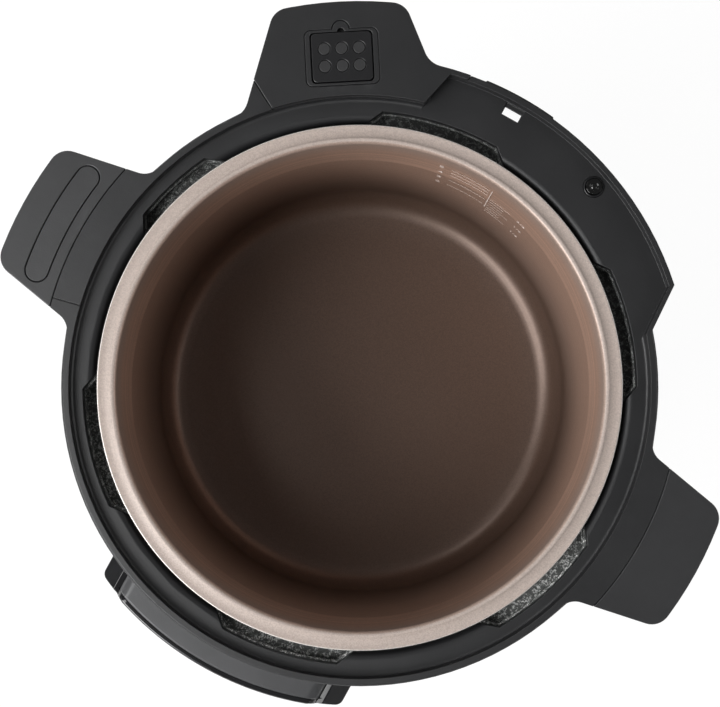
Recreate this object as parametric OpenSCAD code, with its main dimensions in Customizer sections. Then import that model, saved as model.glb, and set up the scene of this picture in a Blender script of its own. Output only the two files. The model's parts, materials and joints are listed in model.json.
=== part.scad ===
// Electric pressure cooker: the cooker itself, without its lid.
// The origin is on the floor under the middle of the pot, +Z up, the control panel at -Y.

/* [Inner pot] */
// Radius of the inner pot's rim
pot_rim_r = 120; // [118:0.5:121]
// Inside radius of the inner pot's wall
pot_wall_r = 111.5; // [108:0.5:112]
// Thickness of the inner pot's wall
pot_wall_t = 1.5; // [1.2:0.1:1.8]
// Height of the inner pot
pot_h = 153.7; // [140:0.1:158]
// Outside radius of the inner pot's bottom corner
pot_corner_r = 17; // [10:1:24]
// How far the inner pot lifts to clear the cooker
pot_lift = 175; // [160:5:200]

/* [Outer pot] */
// Gap between the inner pot and the outer pot
pot_gap = 1; // [0.8:0.1:1.2]
// Sheet thickness of the outer pot
can_t = 1.6; // [1.2:0.1:1.8]
// Width of the bayonet flange, outside the outer pot's wall
flange_w = 12.8; // [12:0.1:13.2]
// Height of the channel that the lid's jaws turn in
channel_h = 4.9; // [4:0.1:6]
// Sheet thickness of the channel tray
tray_t = 1.5; // [1:0.1:2]

/* [Top ring] */
// Height of the ring's lip above the floor
lip_z = 250; // [244:1:260]
// Outer radius of the top ring
ring_r = 135.8; // [135:0.1:137]
// Width of the lip
lip_w = 3.5; // [3:0.1:4]
// Depth of the ring's floor and of the rear shelf below the lip
floor_drop = 6; // [5:0.5:7]
// Radius of the roll at the inner edge of the ring's floor
roll_r = 4; // [2:0.1:4.2]
// Depth of the outer pot's flange below the lip
flange_drop = 11.6; // [11:0.1:12.4]
// Height of the ring's skirt
skirt_h = 44; // [38:1:50]
// Depth of the pot's rim below the lip
rim_drop = 4; // [3:0.5:5]

/* [Bayonet windows] */
// Outer radius of a window
win_r = 127.1; // [126.5:0.1:127.6]
// Half angle of a window at its outer edge
win_half = 12.5; // [11:0.5:13.5]
// Half angle of the narrow, keyed window at its outer edge
win_key_half = 8.7; // [7.5:0.1:9.5]
// How much each end of a window widens over 6 mm towards the pot, as an angle
win_slant = 4.2; // [3:0.1:5]
// Azimuth of the first window
win_az = -18.4; // [-22:0.1:-16]

/* [Rear shelf] */
// Outer radius of the rear shelf
rear_r = 150.3; // [149.5:0.1:152]
// Width of the rear shelf's lip
rear_lip_w = 2.6; // [2.4:0.1:3]
// Height of the skirt round the rear shelf
rear_skirt_h = 34; // [32:1:38]
// Azimuth of the drain slot
drain_az = 89.8; // [87:0.1:91]
// Azimuth of the lid pin
pin_az = 69.5; // [66:0.1:72]
// Distance of the lid pin from the axis
pin_at_r = 141.2; // [141:0.1:141.6]
// Travel of the lid pin
pin_travel = 2.5; // [1.5:0.1:2.5]

/* [Handles] */
// Length of a side handle beyond the seam where its cap begins
handle_l = 29.1; // [23:0.1:33]
// Half width of a side handle at its cap's seam
handle_half_w = 35.8; // [33:0.1:38]
// Height of a handle's skirt
handle_h = 26; // [24:1:30]
// Radius of the seam where a side handle's cap begins
seam_r = 145.2; // [144:0.1:147]
// Azimuth of the left handle
left_az = 180; // [176:0.5:184]

/* [Connector handle] */
// Azimuth of the connector handle
conn_az = 121.9; // [120:0.1:123]
// How far the connector handle stands out beyond the rear shelf
conn_l = 24.9; // [21.7:0.1:27.7]
// How far the connector cap stands above the lip
conn_rise = 1.4; // [1:0.1:2]
// Distance of the port's middle from the axis
port_at_r = 149.9; // [149.6:0.1:151]
// Pitch of the port's six contacts
contact_pitch = 7.9; // [7.6:0.1:8.2]
// Diameter of a contact's shutter post
contact_d = 5.4; // [5:0.1:5.8]
// Travel of the shutter
shutter_travel = 5; // [3:0.5:6]

/* [Body] */
// Outer radius of the steel sleeve
sleeve_r = 132.4; // [132:0.1:132.6]
// Sheet thickness of the sleeve
sleeve_t = 0.8; // [0.6:0.1:1]
// Height of the rubber feet
foot_h = 5; // [4:0.5:7]
// Distance of a foot from the axis
foot_at_r = 98; // [90:1:104]
// Height of the base cover's wall
base_h = 38; // [36:1:44]
// Wall of the base cover
base_t = 2.5; // [2:0.1:3]

/* [Heating] */
// Radius of the heater plate
heater_r = 92; // [84:1:94]
// Thickness of the heater plate
heater_t = 12; // [10:1:14]
// Height of the posts under the heater plate
post_h = 12.4; // [12:0.1:16]
// Radius of the temperature sensor's cup
cup_r = 18; // [15:0.5:20]
// Travel of the temperature sensor's cup
cup_travel = 2.5; // [1.5:0.1:3]

/* [Control panel] */
// Width of the control panel
panel_w = 128; // [120:1:132]
// Width of the panel's matt hood, between its glossy cheeks
hood_w = 106; // [104:1:108]
// Height of the panel's hood above the floor
hood_z = 236; // [230:1:240]
// Radius of the fascia's top edge
fascia_top_r = 148.8; // [148:0.1:149.4]
// Radius of the fascia's bottom edge
fascia_low_r = 162; // [160:0.5:164]
// Height of the fascia
fascia_h = 108; // [104:1:116]
// Thickness of the fascia
fascia_t = 2.5; // [2:0.1:3]
// Radius of a key
key_r = 6.5; // [5.5:0.1:7]
// Travel of a key
key_travel = 0.8; // [0.4:0.1:0.8]
// Half angle of the display window
display_half = 9.5; // [8:0.1:9.6]
// Height of the display window
display_h = 34; // [28:1:38]

/* [Hidden] */

smooth = 144;      // facets of a large round
small = 40;        // facets of a small round
eps = 0.01;        // overshoot of a cut
fit = 0.1;         // slack of a fixed seat
slide = 0.1;       // radial slack of a guided post
apart = 0.3;       // gap between pieces that move past each other

// Heights, worked out from the lip downwards
rim_z = lip_z - rim_drop;
pot_z = rim_z - pot_h;
heater_z = pot_z - apart;
heater_low_z = heater_z - heater_t;
can_z = heater_low_z - post_h;
flange_z = lip_z - flange_drop;
flange_t = 2;
tray_z = flange_z - flange_t - channel_h;
ledge_z = tray_z - tray_t;
ledge_t = 2.6;
sleeve_top_z = ledge_z - ledge_t;
sleeve_low_z = foot_h + base_h;
skirt_z = lip_z - skirt_h;
shelf_z = lip_z - floor_drop;
shelf_t = 2.4;
handle_z = lip_z - handle_h;
plate_t = 3;
base_in_z = foot_h + base_t;

// Radii, worked out from the pot outwards
can_r = pot_wall_r + pot_wall_t + pot_gap;
flange_r = can_r + can_t + flange_w;
ring_in_r = pot_rim_r + 1.3;
lip_in_r = ring_r - lip_w;
skirt_in_r = sleeve_r + 0.5;
lap_r = sleeve_r - sleeve_t - fit;
handle_tip_r = seam_r + handle_l;
conn_tip_r = rear_r + conn_l;

// A point at a distance and an azimuth
function at(r, a) = [r * cos(a), r * sin(a)];
// A point on the line from p to q, at t of the way
function along(p, q, t) = p + (q - p) * t;
// Points of an arc about c
function arc(c, r, from, to, n) = [
    for (i = [0:n]) c + at(r, from + (to - from) * i / n)
];

// A plain tube about the axis
module tube(r_in, r_out, h) {
    rotate_extrude($fn = smooth)
        translate([r_in, 0])
            square([r_out - r_in, h]);
}

// A flat wedge of the plane between two azimuths
module wedge(r, from, to) {
    polygon(concat([[0, 0]], [for (i = [0:4]) at(r, from + (to - from) * i / 4)]));
}

// Rounds the outward corners of a flat shape
module rounded(r) {
    offset(r = r, $fn = small) offset(delta = -r) children();
}

// Rounds the inward corners of a flat shape
module filleted(r) {
    offset(r = -r, $fn = small) offset(delta = r) children();
}

// A rectangle with round corners, about its middle
module soft_rectangle(w, h, r) {
    rounded(r) square([w, h], center = true);
}

// A coil spring that stands on z = 0
module coil_spring(r, wire, h, turns) {
    steps = 14 * turns;
    sides = 6;
    points = [
        for (i = [0:steps])
            let (a = 360 * turns * i / steps, z = wire / 2 + (h - wire) * i / steps)
                for (j = [0:sides - 1])
                    let (b = 360 * j / sides, q = r + wire / 2 * cos(b))
                        [q * cos(a), q * sin(a), z + wire / 2 * sin(b)]
    ];
    walls = [
        for (i = [0:steps - 1])
            for (j = [0:sides - 1])
                let (k = (j + 1) % sides, m = i * sides)
                    [m + j, m + sides + j, m + sides + k, m + k]
    ];
    start = [for (j = [0:sides - 1]) j];
    end = [for (j = [sides - 1:-1:0]) steps * sides + j];
    polyhedron(points, concat(walls, [start, end]));
}

// ---------------------------------------------------------------- outlines

// Side handle, along +X, with round tip corners
module handle_outline() {
    slope = 0.19;
    root = seam_r - 22;
    tip = handle_tip_r + 4;
    rounded(9)
        intersection() {
            circle(r = handle_tip_r, $fn = smooth);
            polygon([
                [root, handle_half_w + slope * (seam_r - 4 - root)],
                [root, -handle_half_w - slope * (seam_r - 4 - root)],
                [tip, -handle_half_w + slope * (tip - seam_r + 4)],
                [tip, handle_half_w - slope * (tip - seam_r + 4)]
            ]);
        }
}

// Side handle with the fillets that join it to the ring
module handle_with_root() {
    filleted(9) {
        circle(r = ring_r - 0.5, $fn = smooth);
        handle_outline();
    }
}

// Part of a side handle that belongs to the ring
module handle_root_outline() {
    difference() {
        intersection() {
            handle_with_root();
            wedge(seam_r + 20, -24, 24);
            circle(r = seam_r, $fn = smooth);
        }
        circle(r = ring_r - 1.6, $fn = smooth);
    }
}

// Part of a side handle that its cap covers
module handle_cap_outline() {
    difference() {
        handle_outline();
        circle(r = seam_r + 0.25, $fn = smooth);
    }
}

// Edges of the rear shelf: its slanted right end, and the connector cap's edge
shelf_right_low = at(ring_r - 4.4, 37.5);
shelf_right_high = at(rear_r, 46.9);
cap_in_r = lip_in_r + 0.2;
cap_right_in = at(cap_in_r, 106);
cap_right_out = at(rear_r - rear_lip_w, 102.7);
cap_left_in = at(cap_in_r, 136.3);
cap_left_out = at(rear_r - 2, 137.9);
conn_right_az = 99.5;

// Rear shelf with its lip, out to a radius; inset moves its right end inwards
module shelf_outline(r, inset, left_az) {
    d = (shelf_right_high - shelf_right_low) / norm(shelf_right_high - shelf_right_low);
    n = [-d[1], d[0]] * inset;
    low = along(shelf_right_low, shelf_right_high, -1.2) + n;
    high = along(shelf_right_low, shelf_right_high, 1.6) + n;
    intersection() {
        circle(r = r, $fn = smooth);
        polygon([low, high, at(r + 40, 70), at(r + 60, left_az), at(r - 60, left_az), at(r - 60, 70)]);
    }
}

// Rear shelf's open floor, bounded by the connector cap on its left
module shelf_floor_outline() {
    intersection() {
        shelf_outline(rear_r - rear_lip_w, 0.75 * rear_lip_w, 115);
        polygon([
            along(cap_right_in, cap_right_out, -1.5),
            along(cap_right_in, cap_right_out, 2.2),
            at(rear_r + 40, 70),
            at(rear_r + 20, 20),
            [0, 0]
        ]);
    }
}

// Connector handle, with the fillets that join it to the ring and the shelf
module connector_outline() {
    slope = 0.35;
    half = 40.2;
    at_x = 143;
    filleted(10) {
        circle(r = ring_r - 0.5, $fn = smooth);
        shelf_outline(rear_r, 0, 112);
        rotate(conn_az)
            rounded(9)
                intersection() {
                    circle(r = conn_tip_r, $fn = smooth);
                    polygon([
                        [120, half + slope * (at_x - 120)],
                        [120, -half - slope * (at_x - 120)],
                        [182, -half + slope * (182 - at_x)],
                        [182, half - slope * (182 - at_x)]
                    ]);
                }
    }
}

// Connector handle's walls stand on this outline
module connector_tub_outline() {
    difference() {
        intersection() {
            connector_outline();
            wedge(conn_tip_r + 20, conn_right_az, 145);
        }
        circle(r = ring_r - 1.6, $fn = smooth);
    }
}

// Bounds of the connector cap: a groove on its left, the rear shelf on its right
module cap_bounds() {
    polygon([
        along(cap_left_in, cap_left_out, -1.2),
        along(cap_left_in, cap_left_out, 1),
        at(conn_tip_r + 30, 142),
        at(conn_tip_r + 30, 98),
        at(rear_r + 10, 98),
        at(rear_r - rear_lip_w, conn_right_az),
        cap_right_out,
        along(cap_right_in, cap_right_out, -1.5)
    ]);
}

// Top plate of the connector handle
module connector_cap_outline() {
    difference() {
        intersection() {
            connector_outline();
            cap_bounds();
        }
        circle(r = cap_in_r, $fn = smooth);
        shelf_floor_outline();
    }
}

// Bayonet windows, cut from the pot's side out to radius r, each wider by grow
module bayonet_windows(r, grow) {
    for (k = [0:5]) {
        half = (k == 3 ? win_key_half : win_half) + grow;
        inner = half + win_slant * 16 / 6;
        mid = win_az + 60 * k;
        low = at(r - 16, mid - inner);
        high = at(r - 16, mid + inner);
        intersection() {
            circle(r = r, $fn = smooth);
            polygon([
                low,
                along(low, at(r, mid - half), 1.3),
                along(high, at(r, mid + half), 1.3),
                high
            ]);
        }
    }
}

// ---------------------------------------------------------------- top ring

foot_r = 1.6;

// Section of the ring: lip, floor that rolls down to the pot, and skirt
module ring_section() {
    polygon(concat(
        [[ring_r - 0.8, skirt_z], [ring_r, skirt_z + 20], [ring_r, lip_z - 1]],
        [[ring_r - 1, lip_z], [lip_in_r, lip_z]],
        arc([lip_in_r - foot_r, shelf_z + foot_r], foot_r, 0, -90, 5),
        arc([ring_in_r + roll_r, shelf_z - roll_r], roll_r, 90, 180, 8),
        [[ring_in_r, flange_z], [flange_r - 1.6, flange_z]],
        [[flange_r + 1, shelf_z - shelf_t], [skirt_in_r, shelf_z - shelf_t], [skirt_in_r, skirt_z]]
    ));
}

// Walls that carry a side handle's cap, and the tongue that the cap slides over
module handle_root() {
    difference() {
        translate([0, 0, handle_z])
            linear_extrude(handle_h)
                handle_root_outline();
        translate([0, 0, handle_z - 1])
            linear_extrude(handle_h - plate_t + 1)
                difference() {
                    offset(delta = -2.6) handle_with_root();
                    circle(r = ring_r + 0.6, $fn = smooth);
                    difference() {
                        circle(r = 300, $fn = 12);
                        circle(r = seam_r - 2.6, $fn = smooth);
                    }
                }
    }
    difference() {
        translate([seam_r - 3, -tongue_w / 2, tongue_z])
            cube([tongue_l + 3, tongue_w, tongue_t]);
        translate([screw_x, 0, tongue_z - 1])
            cylinder(r = screw_r + fit, h = tongue_t + 2, $fn = small);
    }
}
tongue_w = 30;
tongue_l = 18;
tongue_t = 8;
tongue_z = lip_z - plate_t - tongue_t;
screw_x = seam_r + 10;
screw_r = 2;

// Shelf behind the pot, with its lip, its skirt, the drain slot and the pin's hole
module rear_shelf() {
    difference() {
        union() {
            translate([0, 0, shelf_z - shelf_t])
                linear_extrude(shelf_t)
                    shelf_outline(rear_r, 0, 112);
            translate([0, 0, lip_z - rear_skirt_h])
                linear_extrude(rear_skirt_h)
                    difference() {
                        shelf_outline(rear_r, 0, 103.5);
                        shelf_outline(rear_r - rear_lip_w, 0.75 * rear_lip_w, 120);
                    }
        }
        translate([0, 0, lip_z - rear_skirt_h - 1])
            cylinder(r = skirt_in_r + 1, h = rear_skirt_h + 2, $fn = smooth);
    }
}

drain_r_in = 141.3;
drain_w = 8.3;
drain_d = 3.9;
collar_r = 4.75;

// The ring is moulded in two: an upper part with the lip and floor, and a collar
module ring_form() {
    difference() {
        union() {
            difference() {
                rotate_extrude($fn = smooth) ring_section();
                translate([0, 0, shelf_z])
                    linear_extrude(lip_z - shelf_z + 1)
                        shelf_floor_outline();
            }
            rear_shelf();
            for (a = [0, left_az])
                rotate(a) handle_root();
            connector_tub();
        }
        translate([0, 0, flange_z - 1])
            linear_extrude(lip_z - flange_z + 2)
                bayonet_windows(win_r, 0);
        // seat of the connector cap
        translate([0, 0, lip_z + conn_rise - plate_t])
            linear_extrude(plate_t + 2)
                union() {
                    offset(delta = fit) connector_cap_outline();
                    intersection() {
                        cap_bounds();
                        difference() {
                            circle(r = cap_in_r + 2, $fn = smooth);
                            circle(r = lip_in_r - 2, $fn = smooth);
                        }
                    }
                }
        // joint line of the left handle's root
        rotate(left_az + 12.5)
            translate([lip_in_r - 1, -0.25, lip_z - 0.6])
                cube([seam_r - lip_in_r + 2, 0.5, 1]);
        // drain slot, the pocket that leads to it and the way down behind the skirt
        rotate(drain_az) {
            translate([drain_r_in, -drain_w / 2, lip_z - 60])
                cube([drain_d, drain_w, 60]);
            translate([drain_r_in, -drain_w / 2 - 0.5, shelf_z - 0.9])
                cube([drain_d + 1.9, drain_w + 1, 10]);
            translate([drain_r_in, -drain_w / 2 - 0.5, lip_z - rear_skirt_h - 1])
                cube([20, drain_w + 1, rear_skirt_h - 15]);
        }
        rotate(pin_az)
            translate([pin_at_r, 0, shelf_z - 10])
                cylinder(r = collar_r + fit, h = 12, $fn = small);
    }
}

collar_z = flange_z - 1.4;

module top_ring() {
    color("#2c2c2e")
        intersection() {
            ring_form();
            translate([-200, -200, collar_z])
                cube([400, 400, 40]);
        }
}

module ring_collar() {
    color("#28282a")
        intersection() {
            ring_form();
            translate([-200, -200, 100])
                cube([400, 400, collar_z - 100]);
        }
}

tub_wall = 2.2;
// Walls of the connector handle, open below and above
module connector_tub() {
    tub_h = lip_z + conn_rise - plate_t - handle_z;
    difference() {
        translate([0, 0, handle_z])
            linear_extrude(tub_h)
                connector_tub_outline();
        translate([0, 0, handle_z - 1])
            linear_extrude(tub_h + 2)
                difference() {
                    offset(delta = -tub_wall) connector_tub_outline();
                    circle(r = ring_r + 0.6, $fn = smooth);
                }
        translate([0, 0, shelf_z])
            linear_extrude(20)
                shelf_floor_outline();
    }
    // left of the cap the tub closes at the lip's height
    translate([0, 0, lip_z - plate_t])
        linear_extrude(plate_t)
            difference() {
                connector_tub_outline();
                offset(delta = 0.25) cap_bounds();
                wedge(conn_tip_r + 20, 90, 125);
            }
}

// ---------------------------------------------------------------- handles

module handle_cap() {
    difference() {
        translate([0, 0, handle_z])
            linear_extrude(handle_h)
                handle_cap_outline();
        translate([0, 0, handle_z - 1])
            linear_extrude(handle_h - plate_t + 1)
                offset(delta = -2.4) handle_cap_outline();
        translate([seam_r - 2, -tongue_w / 2 - fit, tongue_z - fit])
            cube([8, tongue_w + 2 * fit, tongue_t + fit]);
    }
}

// Underside of a handle, with grip ridges and the boss that the screw goes up
module handle_base() {
    difference() {
        union() {
            translate([0, 0, handle_z])
                linear_extrude(plate_t)
                    offset(delta = -2.4 - fit) handle_cap_outline();
            translate([screw_x, 0, handle_z])
                cylinder(r = 4.5, h = tongue_z - handle_z, $fn = small);
        }
        translate([screw_x, 0, handle_z - 1])
            cylinder(r = screw_r + fit, h = handle_h, $fn = small);
        translate([screw_x, 0, handle_z - 1])
            cylinder(r = head_r + fit, h = head_h + 1.3, $fn = small);
        for (i = [-2:2])
            if (i != 0)
                translate([screw_x + 3, i * 9 - 0.8, handle_z - 1])
                    cube([8, 1.6, 2]);
    }
}
head_r = 3.6;
head_h = 2;

// Stadium-shaped pad let into the left handle, and the recess for it
inlay_r = seam_r + 0.371 * handle_l;
inlay_half = 8.8;
inlay_w = 10.3;
inlay_t = 1.2;
module inlay_outline(w) {
    intersection() {
        difference() {
            circle(r = inlay_r + w / 2, $fn = smooth);
            circle(r = inlay_r - w / 2, $fn = smooth);
        }
        wedge(inlay_r + 40, -inlay_half, inlay_half);
    }
    for (s = [-1, 1])
        rotate(s * inlay_half)
            translate([inlay_r, 0])
                circle(r = w / 2, $fn = small);
}

module left_handle_cap() {
    color("#3b3b3d")
        rotate(left_az)
            difference() {
                handle_cap();
                translate([0, 0, lip_z - inlay_t])
                    linear_extrude(inlay_t + 1)
                        inlay_outline(inlay_w + 0.8);
            }
}

module right_handle_cap() {
    color("#3b3b3d") handle_cap();
}

module left_handle_base() {
    color("#2a2a2c") rotate(left_az) handle_base();
}

module right_handle_base() {
    color("#2a2a2c") handle_base();
}

module left_handle_inlay() {
    color("#444446")
        rotate(left_az)
            translate([0, 0, lip_z - inlay_t])
                linear_extrude(inlay_t - 0.05)
                    inlay_outline(inlay_w);
}

module handle_screws() {
    color("silver")
        for (a = [0, left_az])
            rotate(a)
                translate([screw_x, 0, handle_z + 0.3])
                    screw(tongue_z - handle_z + tongue_t - 1);
}

// A pan-head screw that points up, its head on z = 0
module screw(length) {
    difference() {
        union() {
            cylinder(r = head_r, h = head_h, $fn = small);
            cylinder(r = screw_r, h = length, $fn = small);
        }
        translate([0, 0, -eps])
            for (a = [0, 90])
                rotate(a)
                    translate([-2.2, -0.4, 0])
                        cube([4.4, 0.8, 1]);
    }
}

// ---------------------------------------------------------------- connector port

cap_top_z = lip_z + conn_rise;
cap_low_z = cap_top_z - plate_t;
recess_w = 33.4;
recess_d = 25.6;
block_w = 27.4;
block_d = 22.2;
block_top_z = cap_top_z + 0.7;
port_flange_t = 2;
port_flange_w = 2.2;
port_h = 19;
port_wall = 1.6;

module connector_cap() {
    color("#39393b")
        difference() {
            translate([0, 0, cap_low_z])
                linear_extrude(plate_t)
                    connector_cap_outline();
            rotate(conn_az)
                translate([port_at_r, 0, cap_low_z - 1]) {
                    linear_extrude(plate_t + 2)
                        rotate(90)
                            soft_rectangle(recess_w, recess_d, 3);
                    translate([recess_d / 2, 0, 0])
                        cylinder(r = 4, h = plate_t + 2, $fn = small);
                }
        }
}

// Underside of the connector handle
module connector_base() {
    color("#2a2a2c")
        difference() {
            translate([0, 0, handle_z])
                linear_extrude(plate_t)
                    difference() {
                        offset(delta = -tub_wall - fit) connector_tub_outline();
                        circle(r = ring_r + 0.6 + fit, $fn = smooth);
                        shelf_outline(rear_r, -2, 112);
                    }
            for (i = [-2:2])
                rotate(conn_az)
                    translate([port_at_r + 4, i * 9 - 0.8, handle_z - 1])
                        cube([12, 1.6, 2]);
        }
}

module contact_places() {
    for (i = [-1:1], j = [-0.5, 0.5])
        translate([j * contact_pitch, i * contact_pitch, 0])
            children();
}

// Raised block with six bores, on a flange under the cap
module port_block() {
    color("#2a2a2c")
        rotate(conn_az)
            translate([port_at_r, 0, 0])
                difference() {
                    union() {
                        translate([0, 0, cap_low_z - port_flange_t])
                            linear_extrude(port_flange_t)
                                difference() {
                                    square([recess_d + 2 * port_flange_w, recess_w + 2 * port_flange_w],
                                        center = true);
                                    translate([-port_at_r, 0])
                                        circle(r = ring_r + 1 + fit, $fn = smooth);
                                }
                        translate([0, 0, cap_low_z - eps])
                            linear_extrude(block_top_z - cap_low_z + eps)
                                rotate(90)
                                    soft_rectangle(block_w, block_d, 2);
                    }
                    translate([0, 0, cap_low_z - port_flange_t - 1])
                        contact_places()
                            cylinder(r = contact_d / 2 + slide, h = 12, $fn = small);
                }
}

shutter_z = cap_low_z - port_flange_t - apart;
shutter_t = 2;

// Plate whose six posts fill the block's bores until a lid's plug pushes them down
module port_shutter() {
    color("#3e3e40")
        rotate(conn_az)
            translate([port_at_r, 0, 0]) {
                translate([-block_d / 2, -block_w / 2, shutter_z - shutter_t])
                    cube([block_d, block_w, shutter_t]);
                translate([0, 0, shutter_z - eps])
                    contact_places()
                        cylinder(r = contact_d / 2, h = block_top_z - shutter_z - 0.1, $fn = small);
            }
}

port_low_z = cap_low_z - port_flange_t - port_h;
module port_spring() {
    color("silver")
        rotate(conn_az)
            translate([port_at_r, 0, port_low_z + port_wall])
                coil_spring(6, 0.9, shutter_z - shutter_t - port_low_z - port_wall, 5);
}

// Box below the block that holds the shutter and its spring
module port_housing() {
    w = block_w + 2 * apart + 2 * port_wall;
    d = block_d + 2 * apart + 2 * port_wall;
    color("#e8e4d8")
        rotate(conn_az)
            translate([port_at_r, 0, port_low_z])
                difference() {
                    translate([-d / 2, -w / 2, 0])
                        cube([d, w, port_h]);
                    translate([-d / 2 + port_wall, -w / 2 + port_wall, port_wall])
                        cube([d - 2 * port_wall, w - 2 * port_wall, port_h]);
                }
}

// ---------------------------------------------------------------- lid pin

pin_r = 3.7;
pin_top_z = shelf_z + 1.6;
pin_stop_z = shelf_z - shelf_t - apart;
pin_stop_t = 1.2;
pin_stop_r = pin_r + 0.4;
pin_shaft_r = 1.9;
pin_shaft_l = 7.6;
pin_low_z = pin_stop_z - pin_stop_t - pin_shaft_l;
box_wall = 1.2;
switch_h = 6.5;
spring_seat_z = pin_stop_z - pin_stop_t - 6;

module pin_place() {
    rotate(pin_az) translate([pin_at_r, 0, 0]) children();
}

module pin_collar() {
    color("#1c1c1e")
        pin_place()
            translate([0, 0, shelf_z - shelf_t])
                difference() {
                    cylinder(r = collar_r, h = shelf_t + 0.6, $fn = small);
                    translate([0, 0, -1])
                        cylinder(r = pin_r + slide, h = 20, $fn = small);
                }
}

// Sprung pin that the closed lid pushes down; its top is dished
module lid_pin() {
    color("#151517")
        pin_place()
            difference() {
                union() {
                    translate([0, 0, pin_stop_z])
                        cylinder(r = pin_r, h = pin_top_z - pin_stop_z, $fn = small);
                    translate([0, 0, pin_stop_z - pin_stop_t])
                        cylinder(r = pin_stop_r, h = pin_stop_t, $fn = small);
                    translate([0, 0, pin_low_z])
                        cylinder(r = pin_shaft_r, h = pin_shaft_l + pin_stop_t, $fn = small);
                }
                translate([0, 0, pin_top_z + 4.6])
                    sphere(r = 5.2, $fn = small);
            }
}

module lid_pin_spring() {
    color("silver")
        pin_place()
            translate([0, 0, spring_seat_z])
                coil_spring(3.3, 0.7, pin_stop_z - pin_stop_t - spring_seat_z, 3);
}

box_w = 15.6;
box_d = 2 * (pin_stop_r + apart + box_wall) + 0.2;
box_low_z = spring_seat_z - box_wall - 11.5;
// Box under the shelf: it guides the pin, seats its spring and holds the switch
module sensor_box() {
    color("#2a2a2c")
        pin_place()
            difference() {
                translate([-box_d / 2, -box_w / 2, box_low_z])
                    cube([box_d, box_w, shelf_z - shelf_t - box_low_z]);
                translate([-box_d / 2 + box_wall, -box_w / 2 + box_wall, spring_seat_z])
                    cube([box_d - 2 * box_wall, box_w - 2 * box_wall, 40]);
                translate([-box_d / 2 + box_wall, -box_w / 2 + box_wall, box_low_z + box_wall])
                    cube([box_d - 2 * box_wall, box_w - 2 * box_wall,
                        spring_seat_z - 2 * box_wall - box_low_z]);
                translate([0, 0, box_low_z + box_wall])
                    cylinder(r = pin_shaft_r + slide, h = 30, $fn = small);
                translate([-pin_at_r, 0, box_low_z - 1])
                    cylinder(r = ring_r + fit, h = 60, $fn = smooth);
            }
}

module lid_switch() {
    color("#303034")
        pin_place() {
            translate([-2.9, -6.4, box_low_z + box_wall])
                cube([5.8, 12.8, switch_h]);
            translate([0, 0, box_low_z + box_wall + switch_h])
                cylinder(r = 0.9, h = pin_low_z - pin_travel - apart
                    - box_low_z - box_wall - switch_h, $fn = 24);
        }
}

// ---------------------------------------------------------------- condensate bracket

bracket_half = 7.1;
bracket_out = 3.1;
bracket_h = 18;
// Hood behind the drain slot, which a condensate cup slides up over
module condensate_bracket() {
    mid = drain_az;
    top = shelf_z - 4;
    color("#2a2a2c")
        translate([0, 0, top - bracket_h])
            linear_extrude(bracket_h)
                difference() {
                    intersection() {
                        circle(r = rear_r + bracket_out, $fn = smooth);
                        polygon([
                            at(rear_r - 6, mid - bracket_half - 1.6),
                            at(rear_r + bracket_out + 1, mid - bracket_half + 0.8),
                            at(rear_r + bracket_out + 3, mid),
                            at(rear_r + bracket_out + 1, mid + bracket_half - 0.8),
                            at(rear_r - 6, mid + bracket_half + 1.6)
                        ]);
                    }
                    circle(r = rear_r + 0.02, $fn = smooth);
                }
}

// ---------------------------------------------------------------- pots

// Steel tray under the channel that the lid's jaws turn in; its rim rests on the sleeve
module bayonet_tray() {
    color("#1f1f21")
        rotate_extrude($fn = smooth)
            polygon([
                [can_r + can_t + fit, ledge_z],
                [flange_r + 0.6, ledge_z],
                [flange_r + 0.6, sleeve_top_z],
                [skirt_in_r - fit, sleeve_top_z],
                [skirt_in_r - fit, tray_z],
                [can_r + can_t + fit, tray_z]
            ]);
}

// Notched flange on the outer pot's rim, which the lid's jaws turn under
module bayonet_flange() {
    color("#2b2a2a")
        difference() {
            rotate_extrude($fn = smooth)
                polygon([
                    [can_r, flange_z - flange_t],
                    [flange_r, flange_z - flange_t],
                    [flange_r, flange_z],
                    [can_r + 1, flange_z],
                    [can_r, flange_z - 1]
                ]);
            translate([0, 0, flange_z - flange_t - 1])
                linear_extrude(flange_t + 2)
                    difference() {
                        bayonet_windows(win_r - 0.8, -0.4);
                        circle(r = can_r + can_t + 2, $fn = smooth);
                    }
        }
}

module outer_pot() {
    c = 15;
    color("#2b2a2a")
        difference() {
            rotate_extrude($fn = smooth)
                polygon(concat(
                    [[can_hole_r, can_z - can_t], [can_r + can_t - c, can_z - can_t]],
                    arc([can_r + can_t - c, can_z - can_t + c], c, -90, 0, 8),
                    [[can_r + can_t, flange_z - flange_t], [can_r, flange_z - flange_t]],
                    arc([can_r + can_t - c, can_z - can_t + c], c - can_t, 0, -90, 8),
                    [[can_hole_r, can_z]]
                ));
            for (s = [-1, 1])
                rotate(90 + s * element_gap / 2)
                    translate([element_at_r, 0, can_z - can_t - 1])
                        cylinder(r = 6, h = can_t + 2, $fn = small);
        }
}
can_hole_r = 32;

module inner_pot() {
    c = pot_corner_r;
    out = pot_wall_r + pot_wall_t;
    color("#8d7a72")
        rotate_extrude($fn = smooth)
            polygon(concat(
                [[0, pot_z], [out - c, pot_z]],
                arc([out - c, pot_z + c], c, -90, 0, 8),
                [[out, rim_z - 3.2], [out + 1.6, rim_z - 1.6]],
                [[pot_rim_r - 0.4, rim_z - 1.6], [pot_rim_r, rim_z - 1.2], [pot_rim_r, rim_z - 0.4]],
                [[pot_rim_r - 0.4, rim_z]],
                arc([pot_wall_r + 1.6, rim_z - 1.6], 1.6, 90, 180, 4),
                arc([out - c, pot_z + c], c - pot_wall_t, 0, -90, 8),
                [[0, pot_z + pot_wall_t + 1]]
            ));
}

// ---------------------------------------------------------------- heating

element_at_r = 66;
element_r = 4.5;
element_gap = 30;
post_at_r = 82;

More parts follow.
